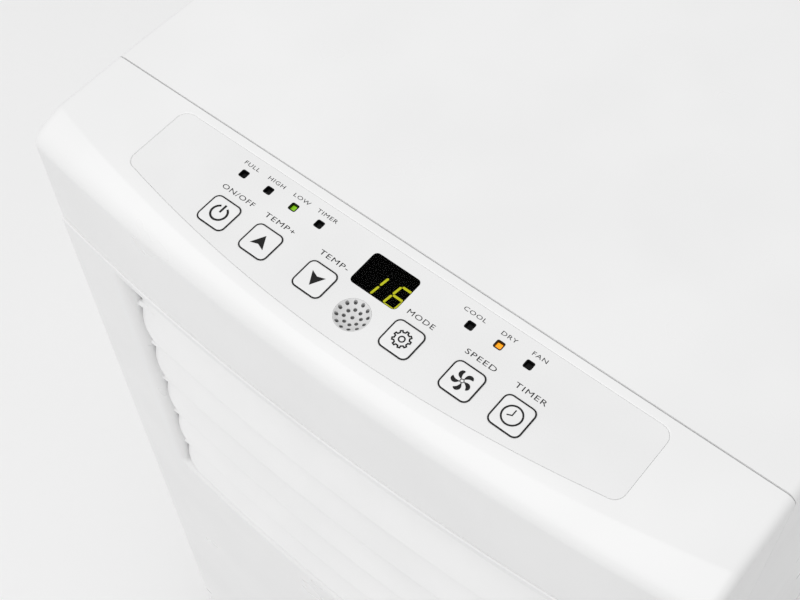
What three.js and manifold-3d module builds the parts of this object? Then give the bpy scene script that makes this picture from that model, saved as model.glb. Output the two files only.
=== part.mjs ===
// Portable air conditioner on casters, with its control panel on top and louvres in the upper front.
// Millimetres, +Z up. The front faces -Y, and the origin is on the floor under the body's middle.
import * as THREE from 'three';
import { mergeVertices } from 'three/addons/utils/BufferGeometryUtils.js';
import Module from 'manifold-3d';

const wasm = await Module();
wasm.setup();

// ---------------------------------------------------------------- driving dimensions
// Cabinet
const BODY_W = 333;
const BODY_D = 300;
const BODY_H = 680;
const WALL = 2.5;              // moulded shell thickness
const GAP = 0.3;               // between pieces that touch
const SEAM_GAP = 0.6;          // parting line between the shells
const FRONT_BOW = 11.1;        // the front's two ends lie this far behind its middle
const FRONT_CORNER_R = 5;
const REAR_CORNER_R = 12;
const SEAM_FROM_FRONT = 64.3;  // from the front's middle to the parting line across the top
const BAND_H = 59;             // height of the top band, control fascia and top cover alike
const FLOOR_GAP = 40;          // from the floor to the base
const PLINTH_H = 12;
const RIM_H = 35;              // height of the base pan's rim

// Control fascia
const PANEL_TILT = THREE.MathUtils.degToRad(1.6);
const SHOULDER_DROP = 11;      // from the top to where the front face turns over
const SHOULDER_LIFT = 6;       // fullness of the rounded shoulder
const CREASE_FROM_SEAM = 55.5; // edge between the panel and the shoulder, on the middle line
const CREASE_BOW = 21.6;       // the crease's ends lie this far behind its middle

// Overlay film, in the panel's own plane, with y from the parting line
const FILM_HALF_W = 120.5;
const FILM_BACK = -4.3;
const FILM_FRONT = -50.6;
const FILM_FRONT_BOW = 12.5;   // rise of the film's front edge at its two ends
const FILM_T = 0.4;
const FILM_CORNER_R = 5;
const FILM_SINK = 0.2;         // the film's face lies this far below the panel

// Keys, lamps, display and buzzer
const KEY_SIZE = 14;
const KEY_CORNER_R = 2.8;
const KEY_ROW = -34.3;
const KEY_TO_WINDOW = 3.1;     // sideways, from the display window to the first key on each side
const KEY_SPACE_INNER = 14.2;  // between the first and the second key on each side
const KEY_SPACE_OUTER = 8.5;   // between the second and the third
const KEY_TRAVEL = 0.6;
const KEY_CAP_T = 2.4;
const KEY_FLANGE = 1.2;        // rim that holds a key under the fascia
const SWITCH_SIZE = 6;
const SWITCH_H = 4.3;
const LAMP_SIZE = 4.2;
const LAMP_ROW = -14;
const LAMP_FIRST = 37.4;
const LAMP_PITCH = 13.5;
const LAMPS_LEFT = 4;
const LAMPS_RIGHT = 3;
const WINDOW_W = 22.8;
const WINDOW_D = 16.5;
const WINDOW_ROW = -18.2;
const WINDOW_CORNER_R = 2;
const WINDOW_T = 1.6;
const DIGIT_DEPTH = 6.4;       // from the film's face down to the display's face
const BUZZER_R = 8;
const BUZZER_ROW = -37.5;
const BUZZER_DISH = 2;
const BUZZER_HOLE_R = 0.8;
const BOARD_DEPTH = 12;        // from the panel down to the circuit board
const BOARD_T = 1.6;

// Air outlet
const OUTLET_HALF_W = 121;
const OUTLET_RAIL_H = 3.5;     // rail of the front panel across the top of the outlet
const SLEEVE_DEPTH = 74;       // from the front's middle to the back of the outlet sleeve
const LOUVRES = 5;
const LOUVRE_PITCH = 33;
const LOUVRE_H = 39;
const LOUVRE_T = 3.2;
const LOUVRE_TILT = THREE.MathUtils.degToRad(13);
const LOUVRE_SETBACK = 6.8;      // hinge line behind the bowed face, at the louvre's ends
const LOUVRE_END_GAP = 7;
const LOUVRE_TOP_GAP = 9.4;    // above the first louvre
const LOUVRE_LOW_GAP = 1.2;    // below the last louvre
const LOUVRE_END_R = 14;
const LOUVRE_PIN_R = 2;
const LINK_PIN_R = 1.2;
const LINK_W = 5.2;
const LINK_T = 3;
const VANES = 5;
const VANE_PITCH = 45;
const VANE_DEPTH = 24;
const VANE_T = 2;
const VANE_FROM_FRONT = 52;

// Evaporator bay
const TRAY_BELOW_OUTLET = 52;
const COIL_D = 32;
const COIL_GROOVES = 10;
const COIL_BEND_PITCH = 34;
const COIL_FROM_REAR = 26;     // outside of the rear wall to the coil
const FAN_WHEEL_R = 47;
const FAN_BLADES = 12;
const FAN_AXIS_FROM_FRONT = 150;
const MOTOR_R = 40;
const MOTOR_L = 28;
const SHAFT_R = 4;

// Condenser bay
const EXHAUST_R = 60;
const EXHAUST_X = -84;
const COLLAR_FLANGE = 5;
const EXHAUST_MARGIN = 6;
const DUCT_HALF_W = 66;
const BLOWER_R = 70;
const BLOWER_D = 42;
const BLOWER_BLADES = 16;
const BLOWER_X = -55;
const BLOWER_Z = 108;          // above the base
const SCROLL_D = 72;
const COMPRESSOR_R = 56;
const COMPRESSOR_H = 186;
const COMPRESSOR_X = 86;
const COMPRESSOR_FROM_FRONT = 92;
const ACCUMULATOR_R = 20;
const ACCUMULATOR_H = 130;
const PIPE_R = 4;

// Filters and grilles
const FILTER_W = 244;
const FILTER_T = 5;
const RAIL_T = 1.5;            // walls of the channels that a filter slides in
const RAIL_LIP = 4;            // how far a channel's lip overlaps the filter's edge
const FILTER_FROM_REAR = 15;
const GRILLE_PITCH = 14;
const GRILLE_SLOT = 7;
const GRILLE_HALF_W = 112;

// Handles, drains, cord and casters
const HANDLE_W = 104;
const HANDLE_H = 34;
const HANDLE_DEPTH = 19;
const LEDGE_W = 6;             // side ledges that carry the partition tray
const LEDGE_T = 3;
const LEDGE_FROM_SEAM = 8;
const LEDGE_FROM_COIL = 10;
const HANDLE_FROM_TOP = 104;
const HANDLE_Y = 20;
const DRAIN_R = 9;
const DRAIN_STEM_R = 4.5;
const CORD_INLET_R = 11;
const CORD_R = 4;
const WHEEL_R = 17;
const WHEEL_W = 14;
const CASTER_TRAIL = 12;
const CASTER_STEM_R = 4;
const SOCKET_DEPTH = 14;
const CASTER_INSET_X = 42;
const CASTER_INSET_Y = 44;

// ---------------------------------------------------------------- derived places
const HALF_W = BODY_W / 2;
const FRONT_Y = -BODY_D / 2;
const REAR_Y = BODY_D / 2;
const SEAM_Y = FRONT_Y + SEAM_FROM_FRONT;
const BAND_Z = BODY_H - BAND_H;
const SHELL_Z = FLOOR_GAP + PLINTH_H;
const SIDE_IN = HALF_W - WALL;
const REAR_IN = REAR_Y - WALL;
const UNDER_FASCIA = -WALL - GAP;

// ---------------------------------------------------------------- solid modelling helpers
function toSolid(geometry) {
  const bare = geometry.clone();
  bare.deleteAttribute('normal');
  bare.deleteAttribute('uv');
  const merged = mergeVertices(bare, 1e-4);
  return new wasm.Manifold(new wasm.Mesh({
    numProp: 3,
    vertProperties: Float32Array.from(merged.attributes.position.array),
    triVerts: Uint32Array.from(merged.index.array),
  }));
}

function toGeometry(solid) {
  const mesh = solid.getMesh();
  const geometry = new THREE.BufferGeometry();
  geometry.setAttribute('position', new THREE.BufferAttribute(mesh.vertProperties, 3));
  geometry.setIndex(new THREE.BufferAttribute(mesh.triVerts, 1));
  return geometry;
}

function join(first, ...others) {
  return others.reduce((whole, piece) => whole.add(piece), first);
}

function cut(base, ...tools) {
  return tools.reduce((rest, tool) => rest.subtract(tool), base);
}

function block([x0, x1], [y0, y1], [z0, z1]) {
  const box = new THREE.BoxGeometry(x1 - x0, y1 - y0, z1 - z0);
  box.translate((x0 + x1) / 2, (y0 + y1) / 2, (z0 + z1) / 2);
  return toSolid(box);
}

// Turns geometry made along +Z so that it runs along the named axis.
function alongAxis(geometry, axis) {
  const turn = new THREE.Matrix4();
  if (axis === 'x') {
    turn.set(0, 0, 1, 0, 1, 0, 0, 0, 0, 1, 0, 0, 0, 0, 0, 1);
  }
  if (axis === 'y') {
    turn.set(1, 0, 0, 0, 0, 0, 1, 0, 0, -1, 0, 0, 0, 0, 0, 1);
  }
  return geometry.applyMatrix4(turn);
}

// A straight rod along an axis from one coordinate to another, through the point [u, v] across it.
function rod(axis, radius, from, to, [u, v], sides = 16) {
  const cylinder = new THREE.CylinderGeometry(radius, radius, to - from, sides);
  cylinder.rotateX(Math.PI / 2);
  alongAxis(cylinder, axis);
  const middle = (from + to) / 2;
  const place = { x: [middle, u, v], y: [u, middle, v], z: [u, v, middle] }[axis];
  cylinder.translate(...place);
  return toSolid(cylinder);
}

// An outline pushed along an axis. Outlines along X lie in (y, z), along Y in (x, z), along Z in (x, y).
function prism(axis, outline, from, to, arcSteps = 2) {
  const shape = outline instanceof THREE.Shape ? outline : new THREE.Shape(outline);
  const geometry = new THREE.ExtrudeGeometry(shape, {
    depth: to - from,
    bevelEnabled: false,
    curveSegments: arcSteps,
  });
  if (axis === 'x') {
    alongAxis(geometry, 'x').translate(from, 0, 0);
  }
  if (axis === 'y') {
    geometry.rotateX(Math.PI / 2).translate(0, to, 0);
  }
  if (axis === 'z') {
    geometry.translate(0, 0, from);
  }
  return toSolid(geometry);
}

function points(...pairs) {
  return pairs.map(([u, v]) => new THREE.Vector2(u, v));
}

function roundedRectangle(width, height, radius) {
  const u = width / 2;
  const v = height / 2;
  const shape = new THREE.Shape();
  shape.absarc(u - radius, v - radius, radius, 0, Math.PI / 2);
  shape.absarc(-u + radius, v - radius, radius, Math.PI / 2, Math.PI);
  shape.absarc(-u + radius, -v + radius, radius, Math.PI, Math.PI * 1.5);
  shape.absarc(u - radius, -v + radius, radius, Math.PI * 1.5, Math.PI * 2);
  return shape;
}

// A closed skin over equal rings of points, with a flat end at the first and the last ring.
function loft(rings) {
  const count = rings[0].length;
  const position = rings.flat().flatMap((point) => [point.x, point.y, point.z]);
  const index = [];
  for (let ring = 0; ring < rings.length - 1; ring += 1) {
    for (let side = 0; side < count; side += 1) {
      const a = ring * count + side;
      const b = ring * count + (side + 1) % count;
      index.push(a, b, b + count, a, b + count, a + count);
    }
  }
  const flat = rings[0].map((point) => new THREE.Vector2(point.y, point.z));
  const last = (rings.length - 1) * count;
  for (const [a, b, c] of THREE.ShapeUtils.triangulateShape(flat, [])) {
    index.push(a, c, b);
    index.push(last + a, last + b, last + c);
  }
  const geometry = new THREE.BufferGeometry();
  geometry.setAttribute('position', new THREE.Float32BufferAttribute(position, 3));
  geometry.setIndex(index);
  return toSolid(geometry);
}

// A pipe along a smooth route, six-sided.
function pipe(route, radius, steps) {
  const stops = route.map((point) => new THREE.Vector3(...point));
  const path = new THREE.CatmullRomCurve3(stops, false, 'centripetal');
  const section = new THREE.Shape();
  section.absarc(0, 0, radius, 0, Math.PI * 2);
  return toSolid(new THREE.ExtrudeGeometry(section, { steps, extrudePath: path, curveSegments: 3 }));
}

const model = new THREE.Group();

function addPart(parent, name, solid, material) {
  const mesh = new THREE.Mesh(toGeometry(solid), new THREE.MeshStandardMaterial(material));
  mesh.name = name;
  parent.add(mesh);
  return mesh;
}

function addGroup(parent, x, y, z) {
  const group = new THREE.Group();
  group.position.set(x, y, z);
  parent.add(group);
  return group;
}

// ---------------------------------------------------------------- materials
const whitePlastic = { color: 0xeeeeec, roughness: 0.35, metalness: 0 };
const greyPlastic = { color: 0xcfcfcd, roughness: 0.5, metalness: 0 };
const filmPlastic = { color: 0xe4e4e3, roughness: 0.45, metalness: 0 };
const blackPlastic = { color: 0x1b1b1c, roughness: 0.45, metalness: 0 };
const darkWindow = { color: 0x0c0c0d, roughness: 0.1, metalness: 0 };
const boardGreen = { color: 0x1e5a34, roughness: 0.6, metalness: 0 };
const finAluminium = { color: 0xbfc2c4, roughness: 0.4, metalness: 0.9 };
const pressedSteel = { color: 0x8d9094, roughness: 0.45, metalness: 0.9 };
const paintedBlack = { color: 0x161617, roughness: 0.4, metalness: 0.2 };
const copper = { color: 0xb8734a, roughness: 0.3, metalness: 1 };
const rubber = { color: 0x232323, roughness: 0.85, metalness: 0 };
const foamWhite = { color: 0xd9dcda, roughness: 0.6, metalness: 0 };

// ---------------------------------------------------------------- the cabinet's plan
// Front face at x, bowed, with its rounded end; inset moves it inwards.
function frontY(x, inset = 0) {
  const side = HALF_W - inset;
  const radius = Math.max(FRONT_CORNER_R - inset, 1);
  const reach = side - radius;
  const along = Math.min(Math.abs(x), reach);
  const over = Math.min(Math.max(Math.abs(x) - reach, 0), radius);
  const turn = radius - Math.sqrt(Math.max(radius * radius - over * over, 0));
  return FRONT_Y + FRONT_BOW * (along / HALF_W) ** 2 + inset + turn;
}

// Stations across the front: even steps over the bow, then round each end.
function frontStations(inset = 0, bowSteps = 10) {
  const side = HALF_W - inset;
  const radius = Math.max(FRONT_CORNER_R - inset, 1);
  const reach = side - radius;
  const stations = [];
  for (let step = 0; step <= bowSteps; step += 1) {
    stations.push(reach * (2 * step / bowSteps - 1));
  }
  const ends = [Math.PI / 4, Math.PI / 2].map((angle) => reach + radius * Math.sin(angle));
  return [...ends.map((x) => -x).reverse(), ...stations, ...ends];
}

function bodyPlan(inset) {
  const side = HALF_W - inset;
  const rear = REAR_Y - inset;
  const radius = Math.max(REAR_CORNER_R - inset, 1);
  const shape = new THREE.Shape(frontStations(inset).map((x) => new THREE.Vector2(x, frontY(x, inset))));
  shape.absarc(side - radius, rear - radius, radius, 0, Math.PI / 2);
  shape.absarc(-side + radius, rear - radius, radius, Math.PI / 2, Math.PI);
  return shape;
}

function bodyRing(outer, inner, z0, z1) {
  return cut(prism('z', bodyPlan(outer), z0, z1), prism('z', bodyPlan(inner), z0 - 1, z1 + 1));
}

const FAR = BODY_W + BODY_D + BODY_H;
const frontHalf = block([-FAR, FAR], [-FAR, SEAM_Y - SEAM_GAP / 2], [-FAR, FAR]);
const rearHalf = block([-FAR, FAR], [SEAM_Y + SEAM_GAP / 2, FAR], [-FAR, FAR]);

// ---------------------------------------------------------------- control fascia
// The panel's own frame: x across, y towards the rear from the parting line, z square to its face.
const panel = addGroup(model, 0, SEAM_Y, BODY_H);
panel.rotation.x = PANEL_TILT;
panel.updateMatrix();

function inPanelPlace(solid) {
  return solid.transform(panel.matrix.elements);
}

function panelZ(y) {
  return BODY_H + (y - SEAM_Y) * Math.tan(PANEL_TILT);
}

function creaseY(x) {
  return SEAM_Y - CREASE_FROM_SEAM + CREASE_BOW * (x / HALF_W) ** 2;
}

// One slice of the fascia across x: face, rounded shoulder, panel, then back down behind.
function fasciaSlice(x, inset, bottom, back) {
  const face = frontY(x, inset);
  const crease = creaseY(x);
  const shoulder = new THREE.QuadraticBezierCurve(
    new THREE.Vector2(face, BODY_H - SHOULDER_DROP),
    new THREE.Vector2(face, BODY_H - SHOULDER_DROP + SHOULDER_LIFT - inset / 2),
    new THREE.Vector2(crease + inset / 3, panelZ(crease) - inset),
  );
  const outline = [
    new THREE.Vector2(back, bottom),
    new THREE.Vector2(back, panelZ(back) - inset),
    ...shoulder.getPoints(4).reverse(),
    new THREE.Vector2(face, bottom),
  ];
  return outline.map((point) => new THREE.Vector3(x, point.x, point.y));
}

function fasciaBlock(inset, bottom, back) {
  return loft(frontStations(inset).map((x) => fasciaSlice(x, inset, bottom, back)));
}

function filmOutline(grow) {
  const half = FILM_HALF_W + grow;
  const corner = FILM_CORNER_R;
  const front = (x) => FILM_FRONT - grow + FILM_FRONT_BOW * (x / FILM_HALF_W) ** 2;
  const back = FILM_BACK + grow;
  const shape = new THREE.Shape();
  for (let step = 0; step <= 12; step += 1) {
    const x = (half - corner) * (step / 6 - 1);
    if (step === 0) {
      shape.moveTo(x, front(x));
    } else {
      shape.lineTo(x, front(x));
    }
  }
  shape.absarc(half - corner, front(half - corner) + corner, corner, -Math.PI / 2, 0);
  shape.absarc(half - corner, back - corner, corner, 0, Math.PI / 2);
  shape.absarc(-half + corner, back - corner, corner, Math.PI / 2, Math.PI);
  shape.absarc(-half + corner, front(half - corner) + corner, corner, Math.PI, Math.PI * 1.5);
  return shape;
}

const KEY_FIRST = WINDOW_W / 2 + KEY_TO_WINDOW + KEY_SIZE / 2;
const KEY_SECOND = KEY_FIRST + KEY_SPACE_INNER + KEY_SIZE;
const KEY_THIRD = KEY_SECOND + KEY_SPACE_OUTER + KEY_SIZE;
const keyPlaces = {
  key_power: -KEY_THIRD,
  key_temp_up: -KEY_SECOND,
  key_temp_down: -KEY_FIRST,
  key_mode: KEY_FIRST,
  key_speed: KEY_SECOND,
  key_timer: KEY_THIRD,
};
const lampPlaces = [];
for (let lamp = 0; lamp < LAMPS_LEFT; lamp += 1) {
  lampPlaces.push(-LAMP_FIRST - lamp * LAMP_PITCH);
}
for (let lamp = 0; lamp < LAMPS_RIGHT; lamp += 1) {
  lampPlaces.push(LAMP_FIRST + lamp * LAMP_PITCH);
}

// Cutters through the film and the fascia, in the panel's frame, for everything that shows through.
function panelOpenings() {
  const through = (outline) => prism('z', outline, -3 * WALL, WALL, 1);
  const keyHole = through(roundedRectangle(KEY_SIZE + 2 * GAP, KEY_SIZE + 2 * GAP, KEY_CORNER_R + GAP));
  const lampHalf = LAMP_SIZE / 2 + GAP;
  const lampHole = block([-lampHalf, lampHalf], [-lampHalf, lampHalf], [-3 * WALL, WALL]);
  const windowOutline = roundedRectangle(WINDOW_W + 2 * GAP, WINDOW_D + 2 * GAP, WINDOW_CORNER_R + GAP);
  const windowHole = through(windowOutline);
  return [
    ...Object.values(keyPlaces).map((x) => keyHole.translate(x, KEY_ROW, 0)),
    ...lampPlaces.map((x) => lampHole.translate(x, LAMP_ROW, 0)),
    windowHole.translate(0, WINDOW_ROW, 0),
    rod('z', BUZZER_R + GAP, -3 * WALL, WALL, [0, BUZZER_ROW], 16),
  ];
}

const openings = panelOpenings();
const BOARD_HALF_W = keyPlaces.key_timer + KEY_SIZE + 4;
const BOARD_BACK = -3;
const BOARD_FRONT = KEY_ROW - KEY_SIZE / 2 - 6;
const BOSS_R = 3;

function boardBosses() {
  const places = [BOARD_BACK - 4, BOARD_FRONT + 4].flatMap((y) => [[-1, y], [1, y]]);
  return places.map(([side, y]) => {
    const x = side * (BOARD_HALF_W - 4);
    return rod('z', BOSS_R, -BOARD_DEPTH + GAP, -WALL / 2, [x, y], 8);
  });
}

function controlFascia() {
  const back = SEAM_Y - SEAM_GAP / 2;
  const skin = cut(
    fasciaBlock(0, BAND_Z, back),
    fasciaBlock(WALL, BAND_Z - 1, back + 1),
  );
  const recess = prism('z', filmOutline(GAP), -FILM_SINK - FILM_T - GAP, WALL);
  return cut(
    join(skin, ...boardBosses().map(inPanelPlace)),
    inPanelPlace(recess),
    ...openings.map(inPanelPlace),
  );
}

addPart(model, 'control_fascia', controlFascia(), whitePlastic);

const film = cut(prism('z', filmOutline(0), -FILM_SINK - FILM_T, -FILM_SINK), ...openings);
addPart(panel, 'overlay_film', film, filmPlastic);

// A key: a cap through the film, a rim under the fascia and a stem towards its switch.
function keySolid() {
  const rim = KEY_SIZE + 2 * KEY_FLANGE;
  const stemEnd = -BOARD_DEPTH + SWITCH_H + KEY_TRAVEL + GAP;
  return join(
    prism('z', roundedRectangle(KEY_SIZE, KEY_SIZE, KEY_CORNER_R), UNDER_FASCIA - 0.5, 0, 2),
    prism('z', roundedRectangle(rim, rim, KEY_CORNER_R), UNDER_FASCIA - 1, UNDER_FASCIA, 1),
    rod('z', 2, stemEnd, UNDER_FASCIA - 0.5, [0, 0], 8),
  );
}

for (const [name, x] of Object.entries(keyPlaces)) {
  addPart(panel, name, keySolid(), filmPlastic).position.set(x, KEY_ROW, 0);
}

// Smoked display window, with a rim under the fascia.
const windowSolid = join(
  prism('z', roundedRectangle(WINDOW_W, WINDOW_D, WINDOW_CORNER_R), UNDER_FASCIA - 0.5, -FILM_SINK, 1),
  block(
    [-WINDOW_W / 2 - 1, WINDOW_W / 2 + 1],
    [-WINDOW_D / 2 - 1, WINDOW_D / 2 + 1],
    [UNDER_FASCIA - WINDOW_T / 2, UNDER_FASCIA],
  ),
);
addPart(panel, 'display_window', windowSolid, darkWindow).position.set(0, WINDOW_ROW, 0);

const MODULE_TOP = -FILM_SINK - DIGIT_DEPTH;
const moduleSolid = block(
  [-WINDOW_W / 2 - 1, WINDOW_W / 2 + 1],
  [-WINDOW_D / 2 - 1, WINDOW_D / 2 + 1],
  [-BOARD_DEPTH + GAP, MODULE_TOP],
);
addPart(panel, 'display_module', moduleSolid, blackPlastic).position.set(0, WINDOW_ROW, 0);

// One light guide: a bar behind the display with a post up to each lamp window.
function lightGuide() {
  const barFront = WINDOW_ROW + WINDOW_D / 2 + 1 + GAP * 2;
  const barTop = UNDER_FASCIA;
  const barBottom = barTop - 2.2;
  const left = Math.min(...lampPlaces) - LAMP_SIZE / 2;
  const right = Math.max(...lampPlaces) + LAMP_SIZE / 2;
  const bar = block([left, right], [barFront, barFront + 3], [barBottom, barTop]);
  const half = LAMP_SIZE / 2;
  const post = block([-half, half], [-half, half], [barTop - 0.5, -FILM_SINK]);
  const tab = block([-half, half], [-half, barFront + 0.5 - LAMP_ROW], [barBottom, barTop]);
  const fingers = lampPlaces.map((x) => join(post, tab).translate(x, LAMP_ROW, 0));
  return join(bar, ...fingers);
}

addPart(panel, 'indicator_light_guide', lightGuide(), darkWindow);

// Dished disc with a ring pattern of sound holes, and a short wall that seats it in the fascia.
function buzzerGrille() {
  const rimZ = -FILM_SINK;
  const dish = (r) => rimZ - BUZZER_DISH * (1 - (r / BUZZER_R) ** 2);
  const profile = [];
  for (const r of [0, BUZZER_R * 0.7, BUZZER_R]) {
    profile.push(new THREE.Vector2(r, dish(r)));
  }
  profile.push(new THREE.Vector2(BUZZER_R, rimZ - BUZZER_DISH * 2));
  profile.push(new THREE.Vector2(BUZZER_R - 1.2, rimZ - BUZZER_DISH * 2));
  profile.push(new THREE.Vector2(BUZZER_R - 1.2, dish(BUZZER_R - 1.2) - 1.2));
  profile.push(new THREE.Vector2(0, dish(0) - 1.2));
  const turned = new THREE.LatheGeometry(profile.reverse(), 12);
  turned.rotateX(Math.PI / 2);
  const hole = (x, y) => rod('z', BUZZER_HOLE_R, -4 * BUZZER_DISH, BUZZER_DISH, [x, y], 6);
  const holes = [hole(0, 0)];
  for (const [ring, count] of [[1, 7], [2, 13]]) {
    for (let place = 0; place < count; place += 1) {
      const angle = 2 * Math.PI * place / count;
      const r = ring * BUZZER_R * 0.38;
      holes.push(hole(r * Math.cos(angle), r * Math.sin(angle)));
    }
  }
  return cut(toSolid(turned), ...holes);
}

addPart(panel, 'buzzer_grille', buzzerGrille(), filmPlastic).position.set(0, BUZZER_ROW, 0);

// Circuit board with a push switch under each key.
function controlBoard() {
  const half = SWITCH_SIZE / 2;
  const top = -BOARD_DEPTH;
  const board = block([-BOARD_HALF_W, BOARD_HALF_W], [BOARD_FRONT, BOARD_BACK], [top - BOARD_T, top]);
  const pushSwitch = block([-half, half], [-half, half], [top - BOARD_T / 2, top + SWITCH_H]);
  return join(board, ...Object.values(keyPlaces).map((x) => pushSwitch.translate(x, KEY_ROW, 0)));
}

addPart(panel, 'control_board', controlBoard(), boardGreen);

// ---------------------------------------------------------------- air outlet layout
const LOUVRE_HALF_W = OUTLET_HALF_W - LOUVRE_END_GAP;
const LOUVRE_Y = frontY(LOUVRE_HALF_W) + LOUVRE_SETBACK;
const LOUVRE_RISE = (LOUVRE_H / 2) * Math.cos(LOUVRE_TILT);
const FIRST_LOUVRE_Z = BAND_Z - SEAM_GAP - LOUVRE_TOP_GAP - LOUVRE_RISE;
const louvreZ = (row) => FIRST_LOUVRE_Z - row * LOUVRE_PITCH;
const OUTLET_BOTTOM = louvreZ(LOUVRES - 1) - LOUVRE_RISE - LOUVRE_LOW_GAP;
const OUTLET_TOP = BAND_Z - SEAM_GAP - OUTLET_RAIL_H;
const SLEEVE_BACK = FRONT_Y + SLEEVE_DEPTH;
const VANE_Y = FRONT_Y + VANE_FROM_FRONT;
const vaneX = (place) => (place - (VANES - 1) / 2) * VANE_PITCH;
const VANE_PIN_R = 1.5;

// ---------------------------------------------------------------- front panel
function frontPanel() {
  const top = BAND_Z - SEAM_GAP;
  const shell = bodyRing(0, WALL, SHELL_Z + GAP, top).intersect(frontHalf);
  const half = OUTLET_HALF_W + WALL;
  const behindFace = cut(
    block([-half, half], [FRONT_Y, SLEEVE_BACK], [OUTLET_BOTTOM - WALL, OUTLET_TOP + WALL]),
    cut(block([-FAR, FAR], [-FAR, 0], [0, FAR]), prism('z', bodyPlan(WALL / 2), -1, FAR)),
  );
  const across = [-OUTLET_HALF_W, OUTLET_HALF_W];
  const airway = block(across, [-FAR, SLEEVE_BACK + 1], [OUTLET_BOTTOM, OUTLET_TOP]);
  const railRelief = cut(
    block(across, [-FAR, 0], [OUTLET_TOP - 1, BODY_H]),
    prism('z', bodyPlan(3 * WALL), 0, FAR),
  );
  const louvreHoles = [];
  for (let row = 0; row < LOUVRES; row += 1) {
    louvreHoles.push(rod('x', LOUVRE_PIN_R + GAP, -half - 1, half + 1, [LOUVRE_Y, louvreZ(row)], 12));
  }
  const vaneHoles = [];
  for (let place = 0; place < VANES; place += 1) {
    const reach = [OUTLET_BOTTOM - 2 * WALL, OUTLET_TOP + 2 * WALL];
    vaneHoles.push(rod('z', VANE_PIN_R + GAP, ...reach, [vaneX(place), VANE_Y], 10));
  }
  return cut(join(shell, behindFace), airway, railRelief, ...louvreHoles, ...vaneHoles);
}

addPart(model, 'front_panel', frontPanel(), whitePlastic);

// ---------------------------------------------------------------- louvres and their link
// Local frame of a louvre: its hinge line is the X axis.
const LINK_PIN_Y = 11;
const LINK_PIN_Z = LOUVRE_H / 2 + 1.5;
const EAR_X = -LOUVRE_HALF_W + 10;

function louvreSlice(x) {
  const along = Math.abs(x);
  const reach = LOUVRE_HALF_W - LOUVRE_END_R;
  const over = Math.max(along - reach, 0);
  const trim = LOUVRE_END_R - Math.sqrt(Math.max(LOUVRE_END_R ** 2 - over ** 2, 0));
  const half = LOUVRE_H / 2 - trim - LOUVRE_T / 2;
  const bow = FRONT_BOW * ((along / HALF_W) ** 2 - (LOUVRE_HALF_W / HALF_W) ** 2);
  const ring = [];
  for (const [side, from] of [[1, 0], [-1, Math.PI]]) {
    for (let step = 0; step <= 2; step += 1) {
      const angle = from + Math.PI * step / 2;
      const across = (LOUVRE_T / 2) * Math.cos(angle);
      const up = side * half + (LOUVRE_T / 2) * Math.sin(angle);
      ring.push(new THREE.Vector3(
        x,
        bow + across * Math.cos(LOUVRE_TILT) + up * Math.sin(LOUVRE_TILT),
        up * Math.cos(LOUVRE_TILT) - across * Math.sin(LOUVRE_TILT),
      ));
    }
  }
  return ring;
}

function louvreSolid() {
  const reach = LOUVRE_HALF_W - LOUVRE_END_R;
  const rightSide = [0, reach / 2, reach];
  for (const angle of [35, 65, 90]) {
    rightSide.push(reach + LOUVRE_END_R * Math.sin(THREE.MathUtils.degToRad(angle)));
  }
  const stations = [...rightSide.slice(1).map((x) => -x).reverse(), ...rightSide];
  const plate = loft(stations.map(louvreSlice));
  const pinEnd = OUTLET_HALF_W + WALL - GAP;
  const inward = LOUVRE_HALF_W - 3;
  const alongBlade = (up) => [up * Math.sin(LOUVRE_TILT), up * Math.cos(LOUVRE_TILT)];
  const ear = prism('x', points(
    alongBlade(LOUVRE_H * 0.15),
    [LINK_PIN_Y + 3, LINK_PIN_Z - 2.5],
    [LINK_PIN_Y + 3, LINK_PIN_Z + 2.5],
    [LINK_PIN_Y - 2.5, LINK_PIN_Z + 2.5],
    alongBlade(LOUVRE_H * 0.45),
  ), EAR_X, EAR_X + 2);
  return join(
    plate,
    ear,
    rod('x', LINK_PIN_R, EAR_X + 1, EAR_X + 2 + LINK_T + 2 * GAP + 0.8, [LINK_PIN_Y, LINK_PIN_Z], 8),
    rod('x', LOUVRE_PIN_R, -pinEnd, -inward, [0, 0], 10),
    rod('x', LOUVRE_PIN_R, inward, pinEnd, [0, 0], 10),
  );
}

for (let row = 0; row < LOUVRES; row += 1) {
  const blade = addPart(model, `louvre_blade_${row + 1}`, louvreSolid(), whitePlastic);
  blade.position.set(0, LOUVRE_Y, louvreZ(row));
}

// Straight bar with one hole for each louvre's link pin; z is measured from the first pin.
function louvreLink() {
  const bottom = -(LOUVRES - 1) * LOUVRE_PITCH;
  const left = EAR_X + 2 + GAP;
  const half = LINK_W / 2;
  const bar = block([left, left + LINK_T], [-half, half], [bottom - half, half]);
  const holes = [];
  for (let row = 0; row < LOUVRES; row += 1) {
    holes.push(rod('x', LINK_PIN_R + GAP, left - 1, left + LINK_T + 1, [0, -row * LOUVRE_PITCH], 10));
  }
  return cut(bar, ...holes);
}

addPart(model, 'louvre_link_bar', louvreLink(), greyPlastic)
  .position.set(0, LOUVRE_Y + LINK_PIN_Y, FIRST_LOUVRE_Z + LINK_PIN_Z);

// ---------------------------------------------------------------- vertical vanes and their link
const VANE_MID_Z = (OUTLET_TOP + OUTLET_BOTTOM) / 2;
const VANE_HALF_H = (OUTLET_TOP - OUTLET_BOTTOM) / 2 - 3;
const VANE_LINK_Y = VANE_DEPTH / 2 + 6;

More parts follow.
